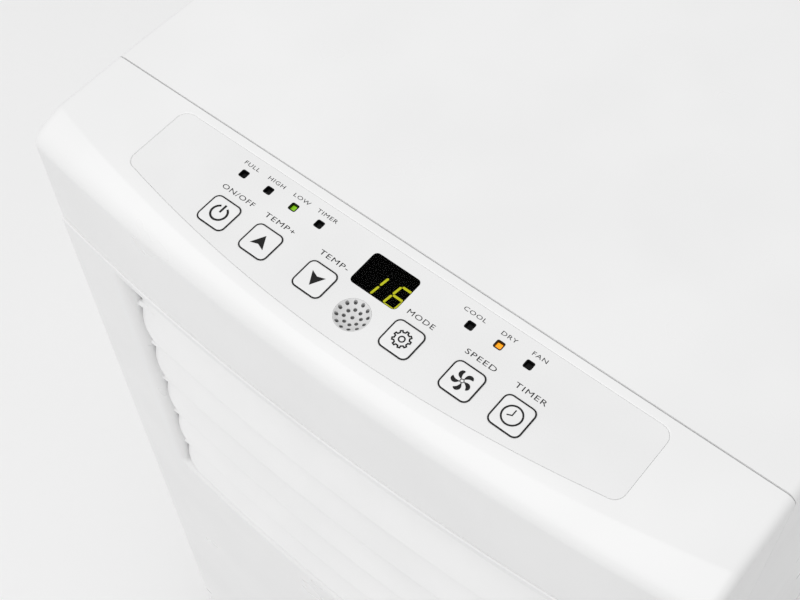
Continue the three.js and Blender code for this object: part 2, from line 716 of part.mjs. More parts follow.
function vaneSolid() {
  const pinReach = VANE_HALF_H + 3 + WALL - GAP;
  return join(
    block([-VANE_T / 2, VANE_T / 2], [-VANE_DEPTH / 2, VANE_DEPTH / 2], [-VANE_HALF_H, VANE_HALF_H]),
    rod('z', VANE_PIN_R, VANE_HALF_H - 3, pinReach, [0, 0], 8),
    rod('z', VANE_PIN_R, -pinReach, -VANE_HALF_H + 3, [0, 0], 8),
    block([-2.5, 2.5], [VANE_DEPTH / 2 - 2, VANE_LINK_Y + 3], [-1, 1]),
    rod('z', LINK_PIN_R, 0, 1 + LINK_T + 2 * GAP + 0.8, [0, VANE_LINK_Y], 8),
  );
}

for (let place = 0; place < VANES; place += 1) {
  const vane = addPart(model, `vane_${place + 1}`, vaneSolid(), greyPlastic);
  vane.position.set(vaneX(place), VANE_Y, VANE_MID_Z);
}

function vaneLink() {
  const half = LINK_W / 2;
  const low = 1 + GAP;
  const bar = block([-half, (VANES - 1) * VANE_PITCH + half], [-half, half], [low, low + LINK_T]);
  const holes = [];
  for (let place = 0; place < VANES; place += 1) {
    holes.push(rod('z', LINK_PIN_R + GAP, low - 1, low + LINK_T + 1, [place * VANE_PITCH, 0], 10));
  }
  return cut(bar, ...holes);
}

addPart(model, 'vane_link_bar', vaneLink(), greyPlastic)
  .position.set(vaneX(0), VANE_Y + VANE_LINK_Y, VANE_MID_Z);

// ---------------------------------------------------------------- bay layout
const TRAY_Z = OUTLET_BOTTOM - TRAY_BELOW_OUTLET;
const TRAY_T = 2.5;
const TRAY_RIM = 20;
const COIL_BACK = REAR_Y - COIL_FROM_REAR;
const COIL_FRONT = COIL_BACK - COIL_D;
const COIL_Y = (COIL_BACK + COIL_FRONT) / 2;
const COIL_HALF_W = OUTLET_HALF_W + 1;
const BASE_FLOOR = FLOOR_GAP + 3;
const DUCT_TOP = TRAY_Z - 2;
const EXHAUST_Z = DUCT_TOP - WALL - EXHAUST_R - EXHAUST_MARGIN;
const DUCT_BOTTOM = EXHAUST_Z - EXHAUST_R - EXHAUST_MARGIN;
const UPPER_COIL = [TRAY_Z + 12, BAND_Z - 6];
const LOWER_COIL = [FLOOR_GAP + SOCKET_DEPTH + WALL + 2, DUCT_BOTTOM - 4];
const FILTER_Y = REAR_Y - FILTER_FROM_REAR;
const UPPER_FILTER = [TRAY_Z + TRAY_RIM + 18, BAND_Z - 12];
const LOWER_FILTER = [FLOOR_GAP + RIM_H + 6, DUCT_BOTTOM - 12];
const EXHAUST_COLLAR_WALL = 4;
const SCROLL_BACK = COIL_FRONT - 1 - GAP;
const SCROLL_FRONT = SCROLL_BACK - SCROLL_D;
const DRAIN_X = 120;
const UPPER_DRAIN_Z = TRAY_Z + TRAY_T + DRAIN_STEM_R + 5;
const LOWER_DRAIN_X = 60;
const LOWER_DRAIN_Z = SHELL_Z + DRAIN_R + 3;
const CORD_Z = SHELL_Z + CORD_INLET_R + 1;

// ---------------------------------------------------------------- rear housing
function grilleCuts([bottom, top]) {
  const cuts = [];
  const slots = Math.floor((top - bottom - 10) / GRILLE_PITCH);
  const first = (top + bottom) / 2 - (slots - 1) * GRILLE_PITCH / 2;
  for (let slot = 0; slot < slots; slot += 1) {
    const z = first + slot * GRILLE_PITCH;
    for (const side of [-1, 1]) {
      const near = side * 3;
      const far = side * GRILLE_HALF_W;
      cuts.push(block(
        [Math.min(near, far), Math.max(near, far)],
        [REAR_IN - 1, REAR_Y + 1],
        [z - GRILLE_SLOT / 2, z + GRILLE_SLOT / 2],
      ));
    }
  }
  return cuts;
}

// Channels above and below a filter, open at the right-hand side where it slides in.
function filterRails([bottom, top]) {
  const across = [-FILTER_W / 2, FILTER_W / 2];
  const front = FILTER_Y - FILTER_T / 2 - GAP - RAIL_T;
  const rail = (z, lipLow, lipHigh) => join(
    block(across, [front, REAR_IN + 0.5], [z, z + RAIL_T]),
    block(across, [front, front + RAIL_T], [z + lipLow, z + RAIL_T + lipHigh]),
  );
  return [rail(top + GAP, -RAIL_LIP, 0), rail(bottom - GAP - RAIL_T, 0, RAIL_LIP)];
}

function filterSlot([bottom, top]) {
  return block(
    [SIDE_IN - 1, HALF_W + 1],
    [FILTER_Y - FILTER_T / 2 - GAP, FILTER_Y + FILTER_T / 2 + GAP],
    [bottom - GAP, top + GAP],
  );
}

// A block from one distance to another off the middle of the cabinet, on one side.
function sideBlock(side, near, far, alongY, alongZ) {
  const ends = [side * near, side * far].sort((a, b) => a - b);
  return block(ends, alongY, alongZ);
}

// The handle's opening in side view, that much larger all round.
function handleBlock(side, near, far, grow) {
  const z = BODY_H - HANDLE_FROM_TOP;
  const halfW = HANDLE_W / 2 + grow;
  const halfH = HANDLE_H / 2 + grow;
  return sideBlock(side, near, far, [HANDLE_Y - halfW, HANDLE_Y + halfW], [z - halfH, z + halfH]);
}

// A finger pocket behind each side wall, with its mouth in the wall.
function handlePocket(side) {
  return handleBlock(side, HALF_W - HANDLE_DEPTH, SIDE_IN + 1, WALL);
}

function handleMouth(side) {
  return handleBlock(side, HALF_W - HANDLE_DEPTH + WALL, HALF_W + 1, 0);
}

// Ledge on each side wall that carries the partition tray.
function trayLedge(side) {
  const under = TRAY_Z - GAP;
  const along = [SEAM_Y + LEDGE_FROM_SEAM, COIL_BACK - LEDGE_FROM_COIL];
  return sideBlock(side, SIDE_IN - LEDGE_W, SIDE_IN + 0.5, along, [under - LEDGE_T, under]);
}

function rearHousing() {
  const shell = bodyRing(0, WALL, SHELL_Z + GAP, BAND_Z - SEAM_GAP).intersect(rearHalf);
  return cut(
    join(
      shell,
      ...filterRails(UPPER_FILTER),
      ...filterRails(LOWER_FILTER),
      handlePocket(-1),
      handlePocket(1),
      trayLedge(-1),
      trayLedge(1),
    ),
    ...grilleCuts(UPPER_FILTER),
    ...grilleCuts(LOWER_FILTER),
    filterSlot(UPPER_FILTER),
    filterSlot(LOWER_FILTER),
    handleMouth(-1),
    handleMouth(1),
    rod('y', EXHAUST_R + EXHAUST_COLLAR_WALL + GAP, REAR_IN - 1, REAR_Y + 1, [EXHAUST_X, EXHAUST_Z], 24),
    rod('y', DRAIN_R + GAP, REAR_IN - 1, REAR_Y + 1, [DRAIN_X, UPPER_DRAIN_Z], 16),
    rod('y', DRAIN_R + GAP, REAR_IN - 1, REAR_Y + 1, [LOWER_DRAIN_X, LOWER_DRAIN_Z], 16),
    rod('y', CORD_INLET_R + GAP, REAR_IN - 1, REAR_Y + 1, [DRAIN_X, CORD_Z], 16),
  );
}

addPart(model, 'rear_housing', rearHousing(), whitePlastic);

// ---------------------------------------------------------------- top cover
const topCover = cut(
  prism('z', bodyPlan(0), BAND_Z, BODY_H),
  prism('z', bodyPlan(WALL), BAND_Z - 1, BODY_H - WALL),
).intersect(rearHalf);
addPart(model, 'top_cover', topCover, whitePlastic);

// ---------------------------------------------------------------- base pan
const casterX = HALF_W - CASTER_INSET_X;
const casterY = REAR_Y - CASTER_INSET_Y;
const casterPlaces = {
  front_left: [-casterX, -casterY],
  front_right: [casterX, -casterY],
  rear_left: [-casterX, casterY],
  rear_right: [casterX, casterY],
};
const PAN_INSET = WALL + 2 * GAP;

function basePan() {
  const tray = cut(
    prism('z', bodyPlan(PAN_INSET), FLOOR_GAP, FLOOR_GAP + RIM_H),
    prism('z', bodyPlan(PAN_INSET + WALL), BASE_FLOOR, FLOOR_GAP + RIM_H + 1),
  );
  const plinth = cut(
    prism('z', bodyPlan(1), FLOOR_GAP, SHELL_Z - GAP),
    prism('z', bodyPlan(PAN_INSET + WALL / 2), BASE_FLOOR, SHELL_Z),
  );
  const bosses = Object.values(casterPlaces).map((place) => (
    rod('z', CASTER_STEM_R + 4, FLOOR_GAP + 1, FLOOR_GAP + SOCKET_DEPTH + WALL, place, 8)
  ));
  const sockets = Object.values(casterPlaces).map((place) => (
    rod('z', CASTER_STEM_R + GAP, FLOOR_GAP - 1, FLOOR_GAP + SOCKET_DEPTH, place, 12)
  ));
  const drainPlace = [LOWER_DRAIN_X, LOWER_DRAIN_Z];
  const drain = rod('y', DRAIN_STEM_R + GAP, REAR_Y - 2 * PAN_INSET - 4, REAR_Y, drainPlace, 12);
  const cordPath = rod('y', CORD_INLET_R - 2, REAR_Y - 2 * PAN_INSET - 4, REAR_Y, [DRAIN_X, CORD_Z], 12);
  return cut(join(tray, plinth, ...bosses), ...sockets, drain, cordPath);
}

addPart(model, 'base_pan', basePan(), blackPlastic);

// ---------------------------------------------------------------- casters
function casterFork() {
  const armIn = WHEEL_W / 2 + GAP * 2;
  const armOut = armIn + 2.2;
  const top = FLOOR_GAP - GAP;
  const arm = points(
    [-5, top],
    [-5, top - 8],
    [CASTER_TRAIL - 5, WHEEL_R - 4],
    [CASTER_TRAIL + 5, WHEEL_R - 4],
    [CASTER_TRAIL + 5, top],
  );
  return cut(
    join(
      rod('z', 12, top - 4, top, [0, 0], 12),
      rod('z', CASTER_STEM_R, top - 2, FLOOR_GAP + SOCKET_DEPTH - GAP, [0, 0], 8),
      block([-armOut, armOut], [-5, CASTER_TRAIL + 5], [2 * WHEEL_R + 1.5, top]),
      prism('x', arm, -armOut, -armIn),
      prism('x', arm, armIn, armOut),
    ),
    rod('x', 2.5 + GAP, -armOut - 1, armOut + 1, [CASTER_TRAIL, WHEEL_R], 10),
  );
}

function casterWheel() {
  const half = WHEEL_W / 2;
  const tread = [
    [0, -half], [WHEEL_R - 2, -half], [WHEEL_R, -half + 2],
    [WHEEL_R, half - 2], [WHEEL_R - 2, half], [0, half],
  ];
  const turned = new THREE.LatheGeometry(points(...tread), 18);
  turned.rotateZ(-Math.PI / 2);
  return join(toSolid(turned), rod('x', 2.5, -half - GAP * 2 - 2.2, half + GAP * 2 + 2.2, [0, 0], 10));
}

for (const [corner, [x, y]] of Object.entries(casterPlaces)) {
  const caster = addGroup(model, x, y, 0);
  addPart(caster, `caster_fork_${corner}`, casterFork(), blackPlastic);
  addPart(caster, `caster_wheel_${corner}`, casterWheel(), rubber).position.set(0, CASTER_TRAIL, WHEEL_R);
}

// ---------------------------------------------------------------- condensate tray between the bays
const SUCTION_X = SIDE_IN - 28;
const SUCTION_Y = COIL_FRONT - 22;

function partitionTray() {
  const halfW = SIDE_IN - 1;
  const front = FRONT_Y + FRONT_BOW + WALL + 2;
  const back = FILTER_Y - FILTER_T / 2 - 4;
  const outside = block([-halfW, halfW], [front, back], [TRAY_Z, TRAY_Z + TRAY_RIM]);
  const insideHalf = halfW - WALL;
  const inside = block([-insideHalf, insideHalf], [front + WALL, back - WALL], [TRAY_Z + TRAY_T, BODY_H]);
  const spout = rod('y', DRAIN_STEM_R + 2, back - WALL, REAR_IN - GAP, [DRAIN_X, UPPER_DRAIN_Z], 12);
  const spoutBore = rod('y', DRAIN_STEM_R + GAP, back - 3 * WALL, REAR_IN, [DRAIN_X, UPPER_DRAIN_Z], 12);
  const pipeHole = rod('z', PIPE_R + 3, TRAY_Z - 1, TRAY_Z + TRAY_T + 1, [SUCTION_X, SUCTION_Y], 12);
  return cut(join(cut(outside, inside), spout), spoutBore, pipeHole);
}

addPart(model, 'partition_tray', partitionTray(), foamWhite);

// ---------------------------------------------------------------- drain plugs and cord inlet
// Local frame: the axis is Y, and y = 0 is the inside face of the rear wall.
const drainPlug = join(
  rod('y', DRAIN_R, GAP, WALL - GAP, [0, 0], 16),
  rod('y', DRAIN_STEM_R, -14, GAP * 2, [0, 0], 12),
);
addPart(model, 'upper_drain_plug', drainPlug, rubber).position.set(DRAIN_X, REAR_IN, UPPER_DRAIN_Z);
addPart(model, 'lower_drain_plug', drainPlug, rubber).position.set(LOWER_DRAIN_X, REAR_IN, LOWER_DRAIN_Z);

const cordInlet = cut(
  join(
    rod('y', CORD_INLET_R, 0, WALL - GAP, [0, 0], 16),
    rod('y', CORD_INLET_R - 3, -8, 1, [0, 0], 12),
  ),
  rod('y', CORD_R, -9, WALL, [0, 0], 12),
);
addPart(model, 'cord_inlet', cordInlet, rubber).position.set(DRAIN_X, REAR_IN, CORD_Z);

// ---------------------------------------------------------------- exhaust collar
// Hose connector: a tube from the blower's duct to the rear wall, with a flange and three bayonet lugs.
function exhaustCollar() {
  const outer = EXHAUST_R + EXHAUST_COLLAR_WALL;
  const inner = EXHAUST_R + GAP;
  const tube = rod('y', outer, SCROLL_BACK + GAP, REAR_Y - GAP, [0, 0], 24);
  const flange = rod('y', outer + COLLAR_FLANGE, REAR_IN - GAP - 3, REAR_IN - GAP, [0, 0], 24);
  const lugs = [0, 1, 2].map((turn) => (
    block([inner - 3, inner + 1], [REAR_IN - 3, REAR_IN], [-9, 9]).rotate(0, turn * 120 + 30, 0)
  ));
  return join(cut(join(tube, flange), rod('y', inner, 0, FAR, [0, 0], 24)), ...lugs);
}

addPart(model, 'exhaust_collar', exhaustCollar(), whitePlastic).position.set(EXHAUST_X, 0, EXHAUST_Z);

// ---------------------------------------------------------------- filters
// A thin frame of bars with a grip that closes the slot in the housing's side.
function filterCassette([bottom, top]) {
  const half = FILTER_W / 2;
  const y = [FILTER_Y - FILTER_T / 2, FILTER_Y + FILTER_T / 2];
  const end = HALF_W - GAP;
  const rim = 7;
  const windows = [];
  const columns = 4;
  const rows = 2;
  const stepX = (2 * half - rim) / columns;
  const stepZ = (top - bottom - rim) / rows;
  for (let column = 0; column < columns; column += 1) {
    for (let row = 0; row < rows; row += 1) {
      const x0 = -half + rim + column * stepX;
      const z0 = bottom + rim + row * stepZ;
      windows.push(block([x0, x0 + stepX - rim], [y[0] - 1, y[1] - 1.2], [z0, z0 + stepZ - rim]));
    }
  }
  return cut(block([-half, end], y, [bottom, top]), ...windows);
}

addPart(model, 'upper_filter', filterCassette(UPPER_FILTER), greyPlastic);
addPart(model, 'lower_filter', filterCassette(LOWER_FILTER), greyPlastic);

// ---------------------------------------------------------------- coils
// A finned block between two end plates, with return bends on the right-hand side.
function coilSolid([bottom, top], headerZ) {
  const fins = block([-COIL_HALF_W, COIL_HALF_W], [COIL_FRONT, COIL_BACK], [bottom + 3, top - 3]);
  const plate = (x) => block([x - 1.5, x + 1.5], [COIL_FRONT - 1, COIL_BACK + 1], [bottom, top]);
  const grooves = [];
  for (let groove = 0; groove < COIL_GROOVES; groove += 1) {
    const x = COIL_HALF_W * ((2 * groove + 1) / COIL_GROOVES - 1);
    for (const [y0, y1] of [[COIL_FRONT - 2, COIL_FRONT + 2], [COIL_BACK - 2, COIL_BACK + 2]]) {
      grooves.push(block([x - 3, x + 3], [y0, y1], [bottom + 5, top - 5]));
    }
  }
  const bends = [];
  for (let z = headerZ + COIL_BEND_PITCH; z < top - 12; z += COIL_BEND_PITCH) {
    const route = [0, 0.25, 0.5, 0.75, 1].map((part) => [
      COIL_HALF_W + 8 * Math.sin(Math.PI * part),
      COIL_Y,
      z + 8 * Math.cos(Math.PI * part),
    ]);
    bends.push(pipe(route, PIPE_R - 0.5, 4));
  }
  const header = rod('x', PIPE_R, COIL_HALF_W, COIL_HALF_W + 12, [COIL_Y, headerZ], 8);
  return join(cut(fins, ...grooves), plate(-COIL_HALF_W), plate(COIL_HALF_W), ...bends, header);
}

const UPPER_HEADER_Z = UPPER_COIL[0] + 40;
const LOWER_HEADER_Z = LOWER_COIL[1] - 20;
addPart(model, 'evaporator_coil', coilSolid(UPPER_COIL, UPPER_HEADER_Z), finAluminium);
addPart(model, 'condenser_coil', coilSolid(LOWER_COIL, LOWER_HEADER_Z), finAluminium);

// ---------------------------------------------------------------- room-side fan: scroll, wheel, motor
const FAN_Y = FRONT_Y + FAN_AXIS_FROM_FRONT;
const FAN_Z = (OUTLET_BOTTOM + OUTLET_TOP) / 2 - 24;
const END_PLATE_X = OUTLET_HALF_W;

// Spiral guide under and behind the wheel, a tongue above it, and two end plates that stand on the tray.
function evaporatorScroll() {
  const front = SLEEVE_BACK + GAP;
  const back = COIL_FRONT - 1 - GAP;
  const base = TRAY_Z + TRAY_T + GAP;
  const spiral = (grow) => {
    const line = [];
    for (let step = 0; step <= 8; step += 1) {
      const turn = step / 8;
      const angle = THREE.MathUtils.degToRad(10 - 105 * turn);
      const r = FAN_WHEEL_R + 6 + 7 * turn + grow;
      line.push([FAN_Y + r * Math.cos(angle), FAN_Z + r * Math.sin(angle)]);
    }
    return line;
  };
  const guide = [
    ...spiral(WALL),
    [front, OUTLET_BOTTOM - WALL],
    [front, OUTLET_BOTTOM],
    ...spiral(0).reverse(),
  ];
  const tongue = [
    [front, OUTLET_TOP],
    [FAN_Y - FAN_WHEEL_R * 0.5, FAN_Z + FAN_WHEEL_R + 2],
    [FAN_Y - FAN_WHEEL_R * 0.5 + WALL, FAN_Z + FAN_WHEEL_R + 4],
    [front, OUTLET_TOP + WALL],
  ];
  const plateShape = points([front, base], [back, base], [back, UPPER_COIL[1]], [front, UPPER_COIL[1]]);
  const inside = END_PLATE_X;
  const outside = END_PLATE_X + WALL;
  return cut(
    join(
      prism('x', points(...guide), -inside - 0.5, inside + 0.5),
      prism('x', points(...tongue), -inside - 0.5, inside + 0.5),
      prism('x', plateShape, -outside, -inside),
      prism('x', plateShape, inside, outside),
    ),
    rod('x', SHAFT_R + GAP, -outside - 1, outside + 1, [FAN_Y, FAN_Z], 12),
  );
}

addPart(model, 'evaporator_scroll', evaporatorScroll(), foamWhite);

// Drum of long blades between end discs; the left end has a stub shaft, the right end a bore.
function crossFlowWheel() {
  const half = END_PLATE_X - 3;
  const blades = [];
  for (let blade = 0; blade < FAN_BLADES; blade += 1) {
    const single = block([-half + 1, half - 1], [-0.8, 0.8], [FAN_WHEEL_R - 10, FAN_WHEEL_R - 0.5]);
    blades.push(single.rotate(360 * blade / FAN_BLADES, 0, 0));
  }
  const disc = (x0, x1) => rod('x', FAN_WHEEL_R, x0, x1, [0, 0], 16);
  return cut(
    join(
      disc(-half, -half + 2.5),
      disc(half - 2.5, half),
      ...blades,
      rod('x', SHAFT_R, -END_PLATE_X - WALL, -half + 1, [0, 0], 12),
      rod('x', SHAFT_R + 4, half - 22, half - 1, [0, 0], 12),
    ),
    rod('x', SHAFT_R + GAP, half - 20, half + 1, [0, 0], 12),
  );
}

addPart(model, 'evaporator_wheel', crossFlowWheel(), blackPlastic).position.set(0, FAN_Y, FAN_Z);

function motorSolid(axis, direction, shaftLength) {
  const inOrder = (a, b) => a - b;
  const canEnds = [0, -direction * MOTOR_L].sort(inOrder);
  const shaftEnds = [-direction, direction * shaftLength].sort(inOrder);
  return join(rod(axis, MOTOR_R, ...canEnds, [0, 0], 20), rod(axis, SHAFT_R, ...shaftEnds, [0, 0], 12));
}

addPart(model, 'evaporator_motor', motorSolid('x', -1, WALL + 3 + 16), pressedSteel)
  .position.set(END_PLATE_X + WALL + GAP, FAN_Y, FAN_Z);

// ---------------------------------------------------------------- hot-side blower: scroll, wheel, motor
const BLOWER_AXIS_Z = BASE_FLOOR + BLOWER_Z;
const INTAKE_R = BLOWER_R - 14;

// Outline of the spiral and of the duct that rises from it, seen from the front, as two solids.
function scrollBody(shrink) {
  const y = [SCROLL_FRONT + shrink, SCROLL_BACK - shrink];
  const spiral = new THREE.Shape();
  const steps = 20;
  for (let step = 0; step <= steps; step += 1) {
    const angle = Math.PI * 2 * step / steps;
    const r = BLOWER_R + 8 + 18 * step / steps - shrink;
    const u = r * Math.cos(angle - Math.PI / 2);
    const v = r * Math.sin(angle - Math.PI / 2);
    if (step === 0) {
      spiral.moveTo(u, v);
    } else {
      spiral.lineTo(u, v);
    }
  }
  const ductX = [EXHAUST_X - DUCT_HALF_W + shrink, EXHAUST_X + DUCT_HALF_W - shrink];
  const volute = prism('y', spiral, y[0], y[1]).translate(BLOWER_X, 0, BLOWER_AXIS_Z);
  const riser = block([ductX[0], BLOWER_X - 20 - shrink], y, [BLOWER_AXIS_Z, DUCT_TOP - 2 * WALL]);
  const head = block(ductX, y, [DUCT_BOTTOM + shrink, DUCT_TOP - shrink]);
  return join(volute, riser, head);
}

function condenserScroll() {
  return cut(
    join(cut(scrollBody(0), scrollBody(WALL)), ...scrollFeet()),
    rod('y', EXHAUST_R - WALL, SCROLL_BACK - 2 * WALL, REAR_IN, [EXHAUST_X, EXHAUST_Z], 24),
    rod('y', INTAKE_R, SCROLL_BACK - 2 * WALL, REAR_Y, [BLOWER_X, BLOWER_AXIS_Z], 24),
    rod('y', SHAFT_R + 2, SCROLL_FRONT - 1, SCROLL_FRONT + WALL + 1, [BLOWER_X, BLOWER_AXIS_Z], 12),
  );
}

function scrollFeet() {
  const low = BASE_FLOOR + GAP;
  const reach = BLOWER_AXIS_Z - BLOWER_R - 14;
  return [-30, 30].map((x) => (
    block([BLOWER_X + x - 8, BLOWER_X + x + 8], [SCROLL_FRONT + 4, SCROLL_BACK - 4], [low, reach + 12])
  ));
}

addPart(model, 'condenser_scroll', condenserScroll(), foamWhite);

// Forward-curved wheel: back disc with a hub, a ring of blades and a front ring.
function blowerWheel() {
  const half = BLOWER_D / 2;
  const blades = [];
  for (let blade = 0; blade < BLOWER_BLADES; blade += 1) {
    const single = block([-0.8, 0.8], [-half + 1, half - 1], [BLOWER_R - 13, BLOWER_R - 0.5]);
    blades.push(single.rotate(0, 360 * blade / BLOWER_BLADES, 0));
  }
  const frontRing = cut(
    rod('y', BLOWER_R, half - 2.5, half, [0, 0], 16),
    rod('y', BLOWER_R - 13, half - 3, half + 1, [0, 0], 16),
  );
  return cut(
    join(
      rod('y', BLOWER_R, -half, -half + 2.5, [0, 0], 16),
      rod('y', SHAFT_R + 5, -half, -half + 20, [0, 0], 12),
      frontRing,
      ...blades,
    ),
    rod('y', SHAFT_R + GAP, -half - 1, -half + 21, [0, 0], 12),
  );
}

const BLOWER_Y = SCROLL_FRONT + WALL + 6 + BLOWER_D / 2;
addPart(model, 'condenser_wheel', blowerWheel(), blackPlastic)
  .position.set(BLOWER_X, BLOWER_Y, BLOWER_AXIS_Z);
addPart(model, 'condenser_motor', motorSolid('y', 1, WALL + 6 + 16), pressedSteel)
  .position.set(BLOWER_X, SCROLL_FRONT - GAP, BLOWER_AXIS_Z);

// ---------------------------------------------------------------- compressor and accumulator
const COMPRESSOR_Y = FRONT_Y + COMPRESSOR_FROM_FRONT;
const COMPRESSOR_BASE = BASE_FLOOR + 10;

function compressorSolid() {
  const r = COMPRESSOR_R;
  const profile = points(
    [0, 0], [r - 16, 0], [r - 5, 6], [r, 16],
    [r, COMPRESSOR_H - 26], [r - 6, COMPRESSOR_H - 12], [r - 22, COMPRESSOR_H - 2], [0, COMPRESSOR_H],
  );
  const can = new THREE.LatheGeometry(profile, 16);
  can.rotateX(Math.PI / 2);
  const foot = block([-r - 4, r + 4], [-20, 20], [2, 5]);
  const legLow = GAP + BASE_FLOOR - COMPRESSOR_BASE;
  const legs = [-1, 1].map((side) => rod('z', 9, legLow, 3, [side * (r - 8), 0], 12));
  const outlet = rod('z', PIPE_R, COMPRESSOR_H - 10, COMPRESSOR_H + 4, [0, 0], 8);
  return join(toSolid(can), foot, ...legs, outlet);
}

addPart(model, 'compressor', compressorSolid(), paintedBlack)
  .position.set(COMPRESSOR_X, COMPRESSOR_Y, COMPRESSOR_BASE);

const ACCUMULATOR_Y = COMPRESSOR_Y + COMPRESSOR_R + ACCUMULATOR_R + 12;
const ACCUMULATOR_Z = COMPRESSOR_BASE + 36;
const accumulatorProfile = points(
  [0, 0], [ACCUMULATOR_R - 8, 0], [ACCUMULATOR_R, 10],
  [ACCUMULATOR_R, ACCUMULATOR_H - 10], [ACCUMULATOR_R - 8, ACCUMULATOR_H], [0, ACCUMULATOR_H],
);
const accumulatorCan = new THREE.LatheGeometry(accumulatorProfile, 12);
accumulatorCan.rotateX(Math.PI / 2);
const toCompressor = new THREE.Vector2(COMPRESSOR_X - SUCTION_X, COMPRESSOR_Y - ACCUMULATOR_Y);
const elbowReach = toCompressor.length() - COMPRESSOR_R - 3 * GAP;
const elbowAt = (part) => toCompressor.clone().setLength(elbowReach * part).toArray();
const elbow = pipe([
  [0, 0, 3],
  [0, 0, -10],
  [...elbowAt(0.2), -18],
  [...elbowAt(0.6), -18],
  [...elbowAt(1), -18],
], PIPE_R, 10);
addPart(model, 'accumulator', join(toSolid(accumulatorCan), elbow), paintedBlack)
  .position.set(SUCTION_X, ACCUMULATOR_Y, ACCUMULATOR_Z);

// ---------------------------------------------------------------- refrigerant pipes
const headerEndX = COIL_HALF_W + 12 + 2 * GAP;
const compressorTop = COMPRESSOR_BASE + COMPRESSOR_H + 4 + GAP;
const dischargeRun = compressorTop + 22;
const dischargePipe = pipe([
  [COMPRESSOR_X, COMPRESSOR_Y, compressorTop],
  [COMPRESSOR_X, COMPRESSOR_Y, dischargeRun - 6],
  [COMPRESSOR_X, COMPRESSOR_Y + 10, dischargeRun],
  [COMPRESSOR_X, COIL_FRONT - 30, dischargeRun],
  [headerEndX + 8, COIL_FRONT, dischargeRun],
  [headerEndX + 10, COIL_Y, dischargeRun - 12],
  [headerEndX + 10, COIL_Y, LOWER_HEADER_Z + 12],
  [headerEndX + 7, COIL_Y, LOWER_HEADER_Z + 1],
  [headerEndX + 3, COIL_Y, LOWER_HEADER_Z],
  [headerEndX, COIL_Y, LOWER_HEADER_Z],
], PIPE_R, 30);
addPart(model, 'discharge_pipe', dischargePipe, copper);

const suctionPipe = pipe([
  [SUCTION_X, ACCUMULATOR_Y, ACCUMULATOR_Z + ACCUMULATOR_H + GAP],
  [SUCTION_X, ACCUMULATOR_Y, ACCUMULATOR_Z + ACCUMULATOR_H + 50],
  [SUCTION_X, SUCTION_Y, ACCUMULATOR_Z + ACCUMULATOR_H + 100],
  [SUCTION_X, SUCTION_Y, TRAY_Z - 20],
  [SUCTION_X, SUCTION_Y, TRAY_Z + TRAY_T + 20],
  [SUCTION_X + 6, COIL_Y - 10, UPPER_HEADER_Z - 16],
  [headerEndX + 8, COIL_Y, UPPER_HEADER_Z - 3],
  [headerEndX + 3, COIL_Y, UPPER_HEADER_Z],
  [headerEndX, COIL_Y, UPPER_HEADER_Z],
], PIPE_R, 28);
addPart(model, 'suction_pipe', suctionPipe, copper);

// ---------------------------------------------------------------- float switch
// Local frame: the stem's axis, from the base pan's floor.
const FLOAT_TRAVEL = 10;
const floatStem = join(
  rod('z', 10, GAP, 3, [0, 0], 12),
  rod('z', 3, 2, 32, [0, 0], 10),
  rod('z', 6, 30, 33, [0, 0], 12),
);
const floatRing = cut(rod('z', 10, 3 + GAP, 3 + GAP + 14, [0, 0], 16), rod('z', 3.6, 0, 40, [0, 0], 12));
const floatPlace = addGroup(model, BLOWER_X, FRONT_Y + 44, BASE_FLOOR);
addPart(floatPlace, 'float_switch', floatStem, blackPlastic);
addPart(floatPlace, 'float_ring', floatRing, foamWhite);

// ---------------------------------------------------------------- electrical box and capacitor
const ELECTRICAL_TOP = TRAY_Z - GAP;
const electricalBox = block(
  [SIDE_IN - 104, SIDE_IN - 14],
  [COMPRESSOR_Y - 50, COMPRESSOR_Y + 50],
  [ELECTRICAL_TOP - 62, ELECTRICAL_TOP],
);
addPart(model, 'electrical_box', electricalBox, pressedSteel);
const capacitorX = SIDE_IN - 104 - 24;
const capacitor = join(
  rod('z', 22, ELECTRICAL_TOP - 68, ELECTRICAL_TOP, [capacitorX, COMPRESSOR_Y], 20),
  rod('z', 3, ELECTRICAL_TOP - 74, ELECTRICAL_TOP - 67, [capacitorX, COMPRESSOR_Y], 8),
);
addPart(model, 'run_capacitor', capacitor, finAluminium);

export default model;
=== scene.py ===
import math

import bmesh
import bpy
from mathutils import Matrix, Vector


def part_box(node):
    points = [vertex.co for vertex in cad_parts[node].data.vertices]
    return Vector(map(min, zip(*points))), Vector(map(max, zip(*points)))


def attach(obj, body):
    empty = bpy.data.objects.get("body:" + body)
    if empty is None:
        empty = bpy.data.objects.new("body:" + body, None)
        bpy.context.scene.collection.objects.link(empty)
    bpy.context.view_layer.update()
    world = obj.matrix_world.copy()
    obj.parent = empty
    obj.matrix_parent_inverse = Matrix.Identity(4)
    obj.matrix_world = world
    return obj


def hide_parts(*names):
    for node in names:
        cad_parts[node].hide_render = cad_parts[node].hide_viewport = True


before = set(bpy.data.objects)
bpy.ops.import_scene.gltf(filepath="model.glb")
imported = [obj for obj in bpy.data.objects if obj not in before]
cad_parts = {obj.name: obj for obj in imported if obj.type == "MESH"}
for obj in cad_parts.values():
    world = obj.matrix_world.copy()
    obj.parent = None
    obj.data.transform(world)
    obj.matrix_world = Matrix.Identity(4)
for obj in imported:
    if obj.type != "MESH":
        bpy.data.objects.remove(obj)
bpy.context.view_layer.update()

# ------------------------------------------------------------------ Base pan
# The tub that carries everything: black ABS, injection moulded with a fine spark-eroded texture.
# The white shells stand on its plinth, and four sockets under it take the casters' stems.


def corners(node):
    """Lowest and highest corner of a CAD node, in mm."""
    low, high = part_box(node)
    return low * 1000, high * 1000


def middle(node):
    """Middle of a CAD node's box, in mm."""
    low, high = corners(node)
    return (low + high) / 2


